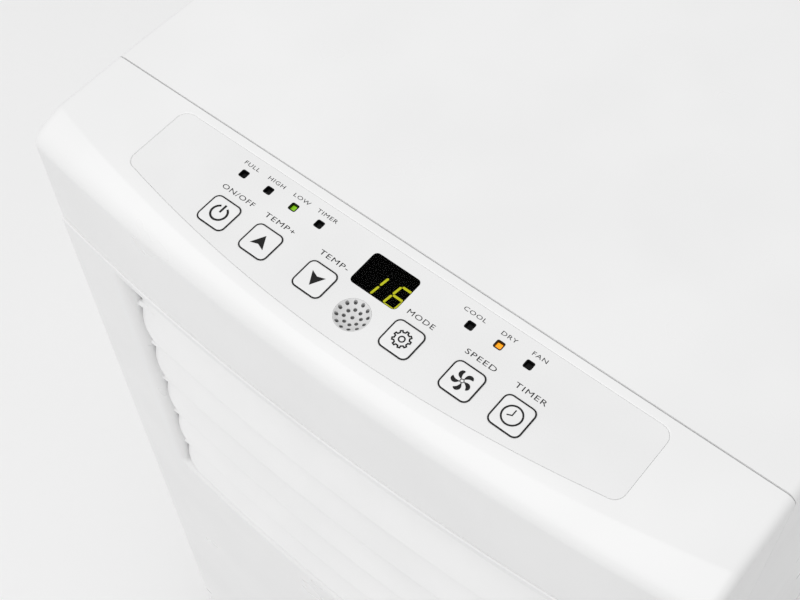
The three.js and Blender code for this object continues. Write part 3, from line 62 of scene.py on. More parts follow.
shell_low, shell_high = corners("rear_housing")
HALF_W = shell_high.x
REAR = shell_high.y
FRONT = corners("front_panel")[0].y
WALL = 2.5
FRONT_BOW = 11.1
FRONT_CORNER = 5
REAR_CORNER = 12
BOW_STEPS = 44
CORNER_STEPS = 8


def front_y(x, inset=0):
    """The cabinet's bowed front at x, with its rounded ends."""
    radius = max(FRONT_CORNER - inset, 1)
    reach = HALF_W - inset - radius
    along = min(abs(x), reach)
    over = min(max(abs(x) - reach, 0), radius)
    turn = radius - math.sqrt(radius * radius - over * over)
    return FRONT + FRONT_BOW * (along / HALF_W) ** 2 + inset + turn


def front_stations(inset=0):
    """Even steps across the front, then round each end."""
    radius = max(FRONT_CORNER - inset, 1)
    reach = HALF_W - inset - radius
    bow = [reach * (2 * step / BOW_STEPS - 1) for step in range(BOW_STEPS + 1)]
    quarter_turns = [math.pi / 2 * step / CORNER_STEPS for step in range(1, CORNER_STEPS + 1)]
    turn = [reach + radius * math.sin(angle) for angle in quarter_turns]
    return [-x for x in reversed(turn)] + bow + turn


def rear_corner(side, inset=0):
    """The plan's rounded rear corner on one side, from the rear towards the front."""
    radius = max(REAR_CORNER - inset, 1)
    centre_x = HALF_W - inset - radius
    centre_y = REAR - inset - radius
    angles = [math.pi / 2 * (1 - step / CORNER_STEPS) for step in range(CORNER_STEPS + 1)]
    return [(side * (centre_x + radius * math.cos(a)), centre_y + radius * math.sin(a)) for a in angles]


def body_plan(inset, z):
    """The whole cabinet seen from above, at height z."""
    front = [(x, front_y(x, inset)) for x in front_stations(inset)]
    rear = rear_corner(1, inset)[::-1] + rear_corner(-1, inset)
    return [(x, y, z) for x, y in front + rear]


def stack(rings, closed=False):
    """A skin through equal rings of points in mm: capped at both ends, or joined from last ring to first."""
    skin = bmesh.new()
    rows = [[skin.verts.new(Vector(point) / 1000) for point in ring] for ring in rings]
    pairs = list(zip(rows, rows[1:] + rows[:1])) if closed else list(zip(rows, rows[1:]))
    for lower, upper in pairs:
        for here in range(len(lower)):
            after = (here + 1) % len(lower)
            skin.faces.new((lower[here], lower[after], upper[after], upper[here]))
    if not closed:
        skin.faces.new(rows[0][::-1])
        skin.faces.new(rows[-1])
    bmesh.ops.recalc_face_normals(skin, faces=skin.faces)
    return skin


def merged(skins):
    """Several skins as one."""
    whole = bmesh.new()
    for skin in skins:
        part = bpy.data.meshes.new("part")
        skin.to_mesh(part)
        whole.from_mesh(part)
        bpy.data.meshes.remove(part)
    return whole


def shade(piece, sharp=32):
    """Smooth shading that stays crisp at edges sharper than that many degrees."""
    piece.data.shade_smooth()
    piece.data.set_sharp_from_angle(angle=math.radians(sharp))


def make(name, skin, material=None):
    """A piece from a skin."""
    mesh = bpy.data.meshes.new(name)
    skin.to_mesh(mesh)
    piece = bpy.data.objects.new(name, mesh)
    bpy.context.scene.collection.objects.link(piece)
    if material:
        mesh.materials.append(material)
    shade(piece)
    return piece


def settle(piece):
    """Applies the piece's modifiers to its mesh."""
    seen = piece.evaluated_get(bpy.context.evaluated_depsgraph_get())
    mesh = bpy.data.meshes.new_from_object(seen)
    piece.modifiers.clear()
    piece.data = mesh
    shade(piece)
    even = piece.modifiers.new("even", "WEIGHTED_NORMAL")
    even.keep_sharp = True


def carve(piece, *skins, how="DIFFERENCE"):
    """Cuts the skins out of the piece, or joins them to it."""
    tool = make("tool", merged(skins))
    cut = piece.modifiers.new("carve", "BOOLEAN")
    cut.operation = how
    cut.solver = "EXACT"
    cut.object = tool
    piece.modifiers.move(len(piece.modifiers) - 1, 0)
    settle(piece)
    bpy.data.objects.remove(tool)


def turned(profile, axis, centre, steps=48, closed=False):
    """A lathe skin about an axis through centre. The profile holds (radius, place along the axis) pairs."""
    rings = []
    for radius, along in profile:
        ring = []
        for step in range(steps):
            angle = 2 * math.pi * step / steps
            u, v = radius * math.cos(angle), radius * math.sin(angle)
            offset = {"x": (along, u, v), "y": (u, along, v), "z": (u, v, along)}[axis]
            ring.append(Vector(centre) + Vector(offset))
        rings.append(ring)
    return stack(rings, closed)


def linear(code):
    """An sRGB hex colour as Blender's linear RGBA."""
    channels = [int(code[i:i + 2], 16) / 255 for i in (1, 3, 5)]
    return [c / 12.92 if c <= 0.04045 else ((c + 0.055) / 1.055) ** 2.4 for c in channels] + [1]


def per_mm(size):
    """Texture scale that repeats once in that many mm."""
    return 1000 / size


def add_node(tree, kind, values=None, links=None, **settings):
    """One shader node, with its settings, its sockets' values and what feeds them."""
    new = tree.nodes.new("ShaderNode" + kind)
    for name, value in settings.items():
        setattr(new, name, value)
    for socket, value in (values or {}).items():
        new.inputs[socket].default_value = value
    for socket, source in (links or {}).items():
        tree.links.new(source, new.inputs[socket])
    return new


def new_material(name, values):
    """A material, and what its texture helpers need: tree, shader and the object's own coordinates."""
    material = bpy.data.materials.new(name)
    material.use_nodes = True
    tree = material.node_tree
    tree.nodes.clear()
    place = add_node(tree, "TexCoord").outputs["Object"]
    shader = add_node(tree, "BsdfPrincipled", values)
    add_node(tree, "OutputMaterial", links={"Surface": shader.outputs["BSDF"]})
    return material, (tree, shader, place)


def ramp(tree, source, dark, light, low=0.0, high=1.0):
    """A two-colour ramp over part of a socket's range, from one hex colour to another."""
    blend = add_node(tree, "ValToRGB", links={"Fac": source})
    for stop, place, code in zip(blend.color_ramp.elements, (low, high), (dark, light)):
        stop.position = place
        stop.color = linear(code)
    return blend.outputs["Color"]


def vary(shading, size, socket, low, high):
    """Feeds a socket with slow cloudy change, low to high, in patches of that size in mm."""
    tree, shader, place = shading
    cloud = add_node(tree, "TexNoise", {"Scale": per_mm(size), "Detail": 3.0}, {"Vector": place})
    spread = add_node(tree, "MapRange", {"From Min": 0.3, "From Max": 0.7, "To Min": low, "To Max": high},
                      {"Value": cloud.outputs["Fac"]})
    tree.links.new(spread.outputs["Result"], shader.inputs[socket])


def tint(shading, size, dark, light):
    """Feeds the base colour with slow cloudy change between two hex colours."""
    tree, shader, place = shading
    cloud = add_node(tree, "TexNoise", {"Scale": per_mm(size), "Detail": 2.0}, {"Vector": place})
    blend = ramp(tree, cloud.outputs["Fac"], dark, light, 0.35, 0.65)
    tree.links.new(blend, shader.inputs["Base Color"])


def grain(shading, size, height):
    """Feeds the normal with a fine texture, size and height in mm."""
    tree, shader, place = shading
    pattern = add_node(tree, "TexNoise", {"Scale": per_mm(size)}, {"Vector": place})
    relief = add_node(tree, "Bump", {"Strength": 1.0, "Distance": height / 1000},
                      {"Height": pattern.outputs["Fac"]})
    tree.links.new(relief.outputs["Normal"], shader.inputs["Normal"])


# Black ABS from an eroded mould: an even fine stipple that turns highlights into a soft grey bloom.
black_abs, shading = new_material("eroded_black_abs", {"IOR": 1.54, "Roughness": 0.5})
tint(shading, 30, "#18181a", "#1e1e20")
vary(shading, 12, "Roughness", 0.44, 0.56)
grain(shading, 0.9, 0.03)

FLOOR_GAP = corners("base_pan")[0].z
PAN_TOP = corners("base_pan")[1].z
PLINTH_TOP = shell_low.z - 0.3
PLINTH_INSET = 1
RIM_INSET = 3.1
PAN_EDGE = 1.5
SOCKET_R = 4.3
SOCKET_DEPTH = 14
WHEEL_TRAIL = 12
CORNERS = ("front_left", "front_right", "rear_left", "rear_right")

pan = make("base_tub", stack([
    body_plan(PLINTH_INSET + PAN_EDGE, FLOOR_GAP),
    body_plan(PLINTH_INSET + PAN_EDGE * 0.3, FLOOR_GAP + PAN_EDGE * 0.3),
    body_plan(PLINTH_INSET, FLOOR_GAP + PAN_EDGE),
    body_plan(PLINTH_INSET, PLINTH_TOP),
    body_plan(RIM_INSET, PLINTH_TOP),
    body_plan(RIM_INSET, PAN_TOP),
    body_plan(RIM_INSET + WALL, PAN_TOP),
    body_plan(RIM_INSET + WALL, FLOOR_GAP + SOCKET_DEPTH + WALL),
]), black_abs)
stem_places = {}
for corner in CORNERS:
    wheel = middle(f"caster_wheel_{corner}")
    stem_places[corner] = (wheel.x, wheel.y - WHEEL_TRAIL)
carve(pan, *[
    turned([(SOCKET_R, -1), (SOCKET_R, SOCKET_DEPTH)], "z", (x, y, FLOOR_GAP))
    for x, y in stem_places.values()
])
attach(pan, "cabinet")
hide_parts("base_pan")

# ------------------------------------------------------------------ Casters
# Four swivel casters: a black nylon hood with a plain stem, and a grey-black rubber wheel on a steel
# axle. The stem snaps into the base pan, and the wheel trails behind it.

# Moulded caster rubber: near black, dull, with the fine chalky bloom that floor dust leaves.
rubber, shading = new_material("matt_caster_rubber", {"IOR": 1.52, "Roughness": 0.75})
tint(shading, 6, "#202021", "#2b2b2b")
grain(shading, 0.5, 0.02)

# Zinc-plated steel: bright grey metal with the faint cloudiness that plating keeps.
zinc_steel, shading = new_material("zinc_plated_steel", {"Metallic": 1.0})
tint(shading, 4, "#a9adb1", "#bcc0c4")
vary(shading, 2, "Roughness", 0.24, 0.36)

WHEEL_W = 14
AXLE_R = 2.4
FORK_IN = 7.7
FORK_OUT = 9.7
HOOD_R = 12
STEM_R = 4


def extruded(outline, place_at, low, high, edge=0.4):
    """A plate from an outline of (u, v) pairs, its rim softened; place_at puts (u, v, w) in the frame."""
    centre_u = sum(u for u, _ in outline) / len(outline)
    centre_v = sum(v for _, v in outline) / len(outline)
    size = max(math.hypot(u - centre_u, v - centre_v) for u, v in outline)

    def ring(inset, w):
        keep = 1 - inset / size
        return [place_at(centre_u + (u - centre_u) * keep, centre_v + (v - centre_v) * keep, w)
                for u, v in outline]

    return stack([ring(edge, low), ring(0, low + edge), ring(0, high - edge), ring(edge, high)])


for corner, (x, y) in stem_places.items():
    wheel = middle(f"caster_wheel_{corner}")
    radius = wheel.z
    half = WHEEL_W / 2
    tread = [(5, -half + 1.8), (9, -half + 1.8), (10.2, -half + 0.5), (radius - 2.6, -half),
             (radius - 0.9, -half + 0.6), (radius, -half + 2.4)]
    tyre = make(f"caster_tyre_{corner}", turned(
        tread + [(r, -along) for r, along in reversed(tread)], "x", wheel, 64), rubber)
    axle = make(f"caster_axle_{corner}", turned([
        (AXLE_R - 0.5, -FORK_OUT), (AXLE_R, -FORK_OUT + 0.4), (AXLE_R, FORK_OUT - 0.4),
        (AXLE_R - 0.5, FORK_OUT),
    ], "x", wheel, 24), zinc_steel)
    top = FLOOR_GAP - 0.3
    dome = [(HOOD_R - 0.5, top), (HOOD_R, top - 0.5), (HOOD_R, top - 3.4), (HOOD_R - 0.8, top - 4)]
    hood = make(f"caster_hood_{corner}", turned(dome, "z", (x, y, 0)), black_abs)
    boss = [(wheel.y - y + 5.4 * math.cos(math.radians(a)), wheel.z + 5.4 * math.sin(math.radians(a)))
            for a in range(200, 381, 20)]
    arm = [(-5, top - 8)] + boss + [(17, top - 4), (15, top - 2.6), (-3, top - 2.6), (-5, top - 4.5)]
    for side in (-1, 1):
        carve(hood, extruded(arm, lambda u, v, w: (x + side * w, y + u, v), FORK_IN, FORK_OUT), how="UNION")
    carve(hood, turned([(STEM_R, top - 1), (STEM_R, FLOOR_GAP + SOCKET_DEPTH - 0.5)], "z", (x, y, 0), 24),
          how="UNION")
    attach(hood, f"caster_{corner}")
    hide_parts(f"caster_fork_{corner}")
    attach(tyre, f"wheel_{corner}")
    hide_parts(f"caster_wheel_{corner}")
    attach(axle, f"wheel_{corner}")

# ------------------------------------------------------------------ Rear housing
# The white U-shaped shell that makes the sides and the back. Injection-moulded ABS, held to the base
# pan and the front panel by screws, with slotted grilles over both filters and a finger cup each side.

# Polished white ABS: bright and even, with a soft gloss and the faintest orange-peel from moulding.
white_abs, shading = new_material("polished_white_abs", {"IOR": 1.54, "Roughness": 0.3})
tint(shading, 60, "#eeeeee", "#f1f1f1")
vary(shading, 40, "Roughness", 0.27, 0.33)
grain(shading, 1.4, 0.003)

SEAM_Y = (corners("control_fascia")[1].y + corners("top_cover")[0].y) / 2
SEAM_HALF = 0.14
SHELL_EDGE = 0.6
UPPER_FILTER = (corners("upper_filter")[0].z, corners("upper_filter")[1].z)
LOWER_FILTER = (corners("lower_filter")[0].z, corners("lower_filter")[1].z)
FILTER_Y = middle("upper_filter").y
GRILLE_PITCH = 14
SLOT_H = 7
GRILLE_HALF_W = 112
CENTRE_RIB = 6
MOUTH = 0.8


def rounded(half_u, half_v, radius, centre=(0, 0), steps=6):
    """A rounded rectangle as (u, v) pairs."""
    outline = []
    for turn, (side_u, side_v) in enumerate([(1, 1), (-1, 1), (-1, -1), (1, -1)]):
        for step in range(steps + 1):
            angle = math.pi / 2 * (turn + step / steps)
            outline.append((centre[0] + side_u * (half_u - radius) + radius * math.cos(angle),
                            centre[1] + side_v * (half_v - radius) + radius * math.sin(angle)))
    return outline


def shell_plan(outer, z):
    """U-shaped plan of the rear shell at height z: outside line, then back along the inside line."""
    end = SEAM_Y + SEAM_HALF
    side = HALF_W - outer
    outside = [(side - 0.5, end), (side - 0.1, end + 0.12), (side, end + 0.6)]
    left = [(-x, y) for x, y in reversed(outside)]
    outside += rear_corner(1, outer)[::-1] + rear_corner(-1, outer) + left
    inside = [(-HALF_W + WALL, end)] + rear_corner(-1, WALL)[::-1]
    inside += rear_corner(1, WALL) + [(HALF_W - WALL, end)]
    return [(x, y, z) for x, y in outside + inside]


def quarter(steps):
    """A quarter round of radius 1: how far it still stands out, and how far it has come in, at each step."""
    angles = [math.pi / 2 * step / steps for step in range(steps + 1)]
    return [(1 - math.sin(a), 1 - math.cos(a)) for a in angles]


def mouth_rings(outline, flare, depth):
    """Rings of a cutter whose mouth is softened: outline(grow) at each depth below the surface."""
    softened = [(outline(flare * out), flare * into) for out, into in quarter(4)]
    return [(outline(flare), -1)] + softened + [(outline(0), depth)]


def rear_cutter(outline, flare=MOUTH, depth=2 * WALL):
    """A cutter into the rear wall from outside."""
    rings = mouth_rings(outline, flare, depth)
    return stack([[(u, REAR - deep, v) for u, v in ring] for ring, deep in rings])


def side_cutter(side, outline, flare):
    """A cutter into a side wall from outside."""
    return stack([[(side * (HALF_W - deep), u, v) for u, v in ring]
                  for ring, deep in mouth_rings(outline, flare, 2 * WALL)])


def grille_slots(bottom, top):
    """Cutters for two columns of slots over a filter."""
    count = math.floor((top - bottom - 10) / GRILLE_PITCH)
    first = (top + bottom) / 2 - (count - 1) * GRILLE_PITCH / 2
    half_w = (GRILLE_HALF_W - CENTRE_RIB / 2) / 2
    cutters = []
    for row in range(count):
        for side in (-1, 1):
            centre = (side * (CENTRE_RIB / 2 + half_w), first + row * GRILLE_PITCH)
            cutters.append(rear_cutter(lambda grow, c=centre: rounded(
                half_w + grow, SLOT_H / 2 + grow, SLOT_H / 2 + grow - 0.1, c, 4)))
    return cutters


edge_steps = [(1, 0), (0.3, 0.3), (0, 1)]
levels = [(SHELL_EDGE * inset, shell_low.z + SHELL_EDGE * up) for inset, up in edge_steps]
levels += [(SHELL_EDGE * inset, shell_high.z - SHELL_EDGE * down) for inset, down in reversed(edge_steps)]
housing = make("rear_shell", stack([shell_plan(inset, z) for inset, z in levels]), white_abs)

HANDLE_Y = 20
HANDLE_Z = corners("top_cover")[1].z - 104
HANDLE_HALF_W = 52
HANDLE_HALF_H = 17
HANDLE_DEPTH = 16.5
CUP_CORNER = 8
CUP_ROUND = 4
COLLAR = middle("exhaust_collar")
COLLAR_R = 64.3
DRAIN_R = 9.3
INLET_R = 11.3
SCREW_WELL_R = 4.6
SCREW_X = 146
SCREW_ROWS = (76, 246, 398, 606)
screw_places = [(side * SCREW_X, z) for side in (-1, 1) for z in SCREW_ROWS if z != 246 or side > 0]


def circle(radius, centre=(0, 0), steps=32):
    """A circle as (u, v) pairs."""
    angles = [2 * math.pi * step / steps for step in range(steps)]
    return [(centre[0] + radius * math.cos(a), centre[1] + radius * math.sin(a)) for a in angles]


inlet = middle("cord_inlet")
carve(
    housing,
    *grille_slots(*UPPER_FILTER),
    *grille_slots(*LOWER_FILTER),
    rear_cutter(lambda grow: circle(COLLAR_R + grow, (COLLAR.x, COLLAR.z), 96), 0.5),
    *[rear_cutter(lambda grow, p=plug: circle(DRAIN_R + grow, (p.x, p.z)), 0.5)
      for plug in (middle("upper_drain_plug"), middle("lower_drain_plug"))],
    rear_cutter(lambda grow: circle(INLET_R + grow, (inlet.x, inlet.z)), 0.5),
    *[rear_cutter(lambda grow, p=spot: circle(SCREW_WELL_R + grow, p, 24), 0.4, 1.5)
      for spot in screw_places],
)
for side in (-1, 1):
    carve(housing, side_cutter(side, lambda grow: rounded(
        HANDLE_HALF_W + 3 + grow, HANDLE_HALF_H + 3 + grow, 9 + grow, (HANDLE_Y, HANDLE_Z), 8), 0.3))
for bottom, top in (UPPER_FILTER, LOWER_FILTER):
    carve(housing, side_cutter(1, lambda grow: rounded(
        2.8 + grow, (top - bottom) / 2 + 0.3 + grow, 0.8 + grow, (FILTER_Y, (bottom + top) / 2)), 0.4))
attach(housing, "cabinet")
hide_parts("rear_housing")

# Finger cups: separate white mouldings that snap into each side, 16 mm deep with softened corners.
for side, name in ((-1, "left"), (1, "right")):
    def cup_ring(grow, deep):
        return [(side * (HALF_W - deep), u, v) for u, v in rounded(
            HANDLE_HALF_W + grow, HANDLE_HALF_H + grow, CUP_CORNER + grow, (HANDLE_Y, HANDLE_Z), 8)]

    lip = [cup_ring(grow, deep)
           for grow, deep in ((2.8, 0.35), (2.0, 0.1), (1.2, 0.25), (0.4, 0.9), (0, 2.2))]
    floor_turn = [cup_ring(-CUP_ROUND * into, HANDLE_DEPTH - CUP_ROUND * out) for out, into in quarter(5)]
    behind = [cup_ring(2.8, 2.2), cup_ring(WALL - 0.4, 3), cup_ring(WALL - 0.4, HANDLE_DEPTH + 1)]
    cup = make(f"finger_cup_{name}", stack(behind[::-1] + lip + floor_turn), white_abs)
    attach(cup, "cabinet")

# ------------------------------------------------------------------ Exhaust collar, plugs and inlet
# A white ABS ring that the exhaust hose turns onto, held by three bayonet lugs, with soft black
# rubber plugs in the two drains and a rubber grommet where the mains lead comes in.

COLLAR_BORE = 60.3
COLLAR_OUT = 64
LUG_HALF = 9
collar_front = corners("exhaust_collar")[0].y
collar = make("exhaust_ring", turned([
    (COLLAR_BORE, collar_front), (COLLAR_BORE, REAR - 1.2), (COLLAR_BORE + 0.4, REAR - 0.5),
    (COLLAR_BORE + 1.2, REAR - 0.3), (COLLAR_OUT - 1, REAR - 0.3), (COLLAR_OUT - 0.3, REAR - 0.6),
    (COLLAR_OUT, REAR - 1.3), (COLLAR_OUT, REAR - WALL - 0.3), (COLLAR_OUT + 5, REAR - WALL - 0.3),
    (COLLAR_OUT + 5, REAR - WALL - 3.3), (COLLAR_OUT, REAR - WALL - 3.3), (COLLAR_OUT, collar_front),
], "y", (COLLAR.x, 0, COLLAR.z), 128, closed=True), white_abs)
for turn in range(3):
    spin = Matrix.Rotation(math.radians(turn * 120 + 30), 3, "Y")
    lug = [[Vector((COLLAR.x, 0, COLLAR.z)) + spin @ Vector((u, y, v))
            for u, v in rounded(2, LUG_HALF - inset, 1, (COLLAR_BORE - 1, 0), 3)]
           for y, inset in ((REAR - WALL - 3, 0.4), (REAR - WALL - 2.6, 0), (REAR - 3.1, 0), (REAR - 2.7, 0.4))]
    carve(collar, stack(lug), how="UNION")
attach(collar, "cabinet")
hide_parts("exhaust_collar")

# Soft black rubber: deep black with a low waxy sheen, no grain that the eye can pick out.
black_rubber, shading = new_material("soft_black_rubber", {"IOR": 1.52, "Roughness": 0.6})
tint(shading, 5, "#1c1c1c", "#262626")
grain(shading, 0.4, 0.01)

PLUG_R = 9
PLUG_STEM_R = 4.5
for node in ("upper_drain_plug", "lower_drain_plug"):
    place_of = middle(node)
    stem_end = corners(node)[0].y
    face = corners(node)[1].y
    plug = make(f"{node}_rubber", turned([
        (PLUG_STEM_R - 1, stem_end), (PLUG_STEM_R, stem_end + 1.5), (PLUG_STEM_R, face - 1.9),
        (PLUG_R, face - 1.9), (PLUG_R, face - 0.6), (PLUG_R - 0.6, face), (PLUG_R - 2.2, face),
        (PLUG_R - 2.6, face - 0.7), (PLUG_R - 6.6, face - 0.7),
    ], "y", (place_of.x, 0, place_of.z), 48), black_rubber)
    grip = [[(place_of.x + u, y, place_of.z + v)
             for u, v in rounded(PLUG_R - 2.6, 1.3 - inset, 0.9, steps=3)]
            for y, inset in ((face - 1, 0), (face - 0.2, 0), (face, 0.3))]
    carve(plug, stack(grip), how="UNION")
    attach(plug, node)
    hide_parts(node)

INLET_BORE = 4
inlet_front, inlet_back = corners("cord_inlet")[0].y, corners("cord_inlet")[1].y
grommet = make("lead_grommet", turned([
    (INLET_BORE, inlet_front), (INLET_BORE, inlet_back - 0.7), (INLET_BORE + 0.5, inlet_back),
    (8.6, inlet_back), (9.4, inlet_back - 0.5), (10.2, inlet_back - 0.1), (11, inlet_back - 0.7),
    (11, inlet_back - 2.2), (8, inlet_back - 2.2), (8, inlet_front),
], "y", (inlet.x, 0, inlet.z), 48, closed=True), black_rubber)
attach(grommet, "cabinet")
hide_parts("cord_inlet")

# ------------------------------------------------------------------ Housing screws
# Self-tapping pan-head screws in shallow wells, cross recess, bright zinc plate.
# They join the rear shell to the base pan, the bulkhead and the upper frame.

SCREW_HEAD_R = 3.6
RECESS_REACH = 1.9
RECESS_HALF_W = 0.36


def screw(name, x, z):
    """A pan head in its well, seen from behind."""
    seat = REAR - 1.6
    head = make(name, turned([
        (1.6, seat - 4), (1.6, seat - 0.1), (SCREW_HEAD_R, seat), (SCREW_HEAD_R, seat + 0.35),
        (SCREW_HEAD_R - 0.5, seat + 0.9), (SCREW_HEAD_R - 1.5, seat + 1.25), (0.4, seat + 1.4),
    ], "y", (x, 0, z), 32), zinc_steel)
    for half_u, half_v in ((RECESS_REACH, RECESS_HALF_W), (RECESS_HALF_W, RECESS_REACH)):
        slot = rounded(half_u, half_v, 0.1, steps=1)
        carve(head, stack([[(x + u, y, z + v) for u, v in slot] for y in (seat + 0.3, seat + 2)]))
    return head


for number, (x, z) in enumerate(screw_places, 1):
    fastener = screw(f"housing_screw_{number}", x, z)
    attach(fastener, "cabinet")

# ------------------------------------------------------------------ Top cover
# The plain white lid behind the controls: polished ABS, moulded with soft outer edges.
# It snaps down over the rear housing and meets the control fascia at one straight parting line.

TOP = corners("top_cover")[1].z
BAND_Z = corners("top_cover")[0].z
LID_EDGE = 4
SEAM_EDGE = 0.35


def lid_plan(outer, seam_in, z):
    """Plan of the lid at height z: its parting line, then the sides and the rear."""
    rear = rear_corner(1, outer)[::-1] + rear_corner(-1, outer)
    seam = SEAM_Y + SEAM_HALF + seam_in
    return [(x, y, z) for x, y in [(-HALF_W + outer, seam), (HALF_W - outer, seam)] + rear]


def lid_rings():
    """Inside skin down to the rim, then the outside up to the softened top edge."""
    rings = [lid_plan(WALL, WALL, TOP - WALL), lid_plan(WALL, WALL, BAND_Z),
             lid_plan(0.5, 0.1, BAND_Z), lid_plan(0, 0, BAND_Z + 0.5)]
    return rings + [lid_plan(LID_EDGE * into, SEAM_EDGE * into, TOP - LID_EDGE * out)
                    for out, into in quarter(8)]


lid = make("plain_lid", stack(lid_rings()), white_abs)
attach(lid, "cabinet")
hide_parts("top_cover")

# ------------------------------------------------------------------ Control fascia
# The front part of the top: a nearly level control panel that turns over a soft shoulder into the
# bowed front band. One polished ABS moulding, with a shallow recess that takes the overlay film.

PANEL_TILT = math.radians(1.6)
SHOULDER_DROP = 11
SHOULDER_LIFT = 6
CREASE_FROM_SEAM = 55.5
CREASE_BOW = 21.6
SHOULDER_STEPS = 18
LIP_SETBACK = 0.9


def on_panel(x, y, z):
    """From the panel's own frame, with y from the parting line and z square to the panel."""
    c, s = math.cos(PANEL_TILT), math.sin(PANEL_TILT)
    return (x, SEAM_Y + y * c - z * s, TOP + y * s + z * c)


def panel_z(y):
    """Height of the control panel's plane at y."""
    return TOP + (y - SEAM_Y) * math.tan(PANEL_TILT)


def crease_y(x):
    """Where the panel starts to turn over into the shoulder, bowed like the front."""
    return SEAM_Y - CREASE_FROM_SEAM + CREASE_BOW * (x / HALF_W) ** 2


def bezier(start, bend, end, steps):
    """Points along a quadratic curve."""
    shares = [step / steps for step in range(steps + 1)]
    return [tuple((1 - t) ** 2 * a + 2 * t * (1 - t) * b + t * t * c for a, b, c in zip(start, bend, end))
            for t in shares]


def fascia_slice(x, inset=0):
    """One slice across the fascia: up behind, over the panel, round the shoulder and down the front."""
    back = SEAM_Y - SEAM_HALF + (5 if inset else 0)
    bottom = BAND_Z - (5 if inset else 0)
    face = front_y(x, inset) + LIP_SETBACK
    crease = crease_y(x)
    over = max(abs(x) - (HALF_W - inset - LID_EDGE), 0)
    drop = 0 if inset else LID_EDGE - math.sqrt(max(LID_EDGE ** 2 - over ** 2, 0))
    shoulder = bezier((face, TOP - SHOULDER_DROP), (face, TOP - SHOULDER_DROP + SHOULDER_LIFT - inset / 2),
                      (crease + inset / 3, panel_z(crease) - inset), SHOULDER_STEPS)
    lip = bottom + (0 if inset else 0.4)
    turn = SEAM_EDGE
    level = panel_z(back) - inset
    line = [(back, bottom), (back, level - turn), (back - turn * 0.3, level - turn * 0.3), (back - turn, level)]
    line += shoulder[::-1] + [(face, lip), (face + 0.4, bottom)]
    rise = TOP - SHOULDER_DROP
    return [(x, y, z - drop * max(0, z - rise) / SHOULDER_DROP) for y, z in line]


fascia = make("control_panel_moulding", stack([fascia_slice(x) for x in front_stations()]), white_abs)
carve(fascia, stack([fascia_slice(x, WALL) for x in front_stations(WALL)]))

FILM_HALF_W = 120.5
FILM_BACK = -4.3
FILM_FRONT = -50.6
FILM_FRONT_BOW = 12.5
FILM_T = 0.4
FILM_CORNER = 5
FILM_SINK = 0.2
FILM_GAP = 0.06
KEYS = ("key_power", "key_temp_up", "key_temp_down", "key_mode", "key_speed", "key_timer")
KEY_HALF = 7.12
KEY_CORNER = 2.9
KEY_ROW = -34.3
key_places = {key: (middle(key).x, KEY_ROW) for key in KEYS}
LAMP_HALF = 1.85
LAMP_CORNER = 0.8
LAMP_ROW = -14
LAMP_FIRST = 37.4
LAMP_PITCH = 13.5
lamp_places = [(-LAMP_FIRST - LAMP_PITCH * n, LAMP_ROW) for n in range(4)]
lamp_places += [(LAMP_FIRST + LAMP_PITCH * n, LAMP_ROW) for n in range(3)]
WINDOW = (11.4, 8.25)
WINDOW_PLACE = (0, -18.2)
WINDOW_CORNER = 2
BUZZER_R = 7.35
BUZZER_PLACE = (0, -37.5)


def film_outline(grow):
    """The overlay film: straight at the back, bowed in front, rounded at its corners."""
    half = FILM_HALF_W + grow
    front = [(half - FILM_CORNER) * (step / 14 - 1) for step in range(29)]
    low = [(x, FILM_FRONT - grow + FILM_FRONT_BOW * (x / FILM_HALF_W) ** 2) for x in front]
    side_low = low[-1][1] + FILM_CORNER
    back = FILM_BACK + grow

    def turn(centre_x, centre_y, start):
        return [(centre_x + FILM_CORNER * math.cos(start + math.pi / 2 * n / 6),
                 centre_y + FILM_CORNER * math.sin(start + math.pi / 2 * n / 6)) for n in range(1, 7)]

    inner = half - FILM_CORNER
    outline = low + turn(inner, side_low, -math.pi / 2) + [(half, back - FILM_CORNER)]
    outline += turn(inner, back - FILM_CORNER, 0) + [(-inner, back)]
    outline += turn(-inner, back - FILM_CORNER, math.pi / 2) + [(-half, side_low)]
    return outline + turn(-inner, side_low, math.pi)[:-1]


def panel_stack(levels, closed=False):
    """A skin from (outline, height above the panel) pairs, in the panel's own frame."""
    return stack([[on_panel(u, v, z) for u, v in outline] for outline, z in levels], closed)


def flat_plate(outline, low, high):
    """A thin plate with straight sides, in the panel's own frame."""
    return panel_stack([(outline, low), (outline, high)])


def square(half, corner, centre, steps=6):
    """A rounded square."""
    return rounded(half, half, corner, centre, steps)


def key_line(grow, centre=(0, 0)):
    """A key's rounded square, that much larger."""
    return square(KEY_HALF + grow, max(KEY_CORNER + grow, 0.5), centre)


def window_line(grow):
    """The window's rounded outline, that much larger."""
    return rounded(WINDOW[0] + grow, WINDOW[1] + grow, max(WINDOW_CORNER + grow, 0.8), WINDOW_PLACE)


def panel_holes(low, high, gap):
    """Cutters for everything that shows through the panel, that much larger than each piece."""
    shapes = [key_line(gap, spot) for spot in key_places.values()]
    shapes += [square(LAMP_HALF + gap, LAMP_CORNER, spot) for spot in lamp_places]
    shapes += [window_line(gap), circle(BUZZER_R + gap, BUZZER_PLACE, 64)]
    return [flat_plate(shape, low, high) for shape in shapes]


carve(fascia, panel_stack([
    (film_outline(FILM_GAP), -FILM_SINK - FILM_T - 0.1),
    (film_outline(FILM_GAP), -0.3),
    (film_outline(FILM_GAP + 0.1), -0.12),
    (film_outline(FILM_GAP + 0.35), 0),
    (film_outline(FILM_GAP + 0.8), 0.2),
]))
carve(fascia, *panel_holes(-3 * WALL, 1, 0.4))
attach(fascia, "cabinet")
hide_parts("control_fascia")

# ------------------------------------------------------------------ Overlay film
# A stiff self-adhesive film that lies in the fascia's recess, die-cut for the keys, lamps and display.
# Polycarbonate, velvet-finished on top and printed pale grey from behind.

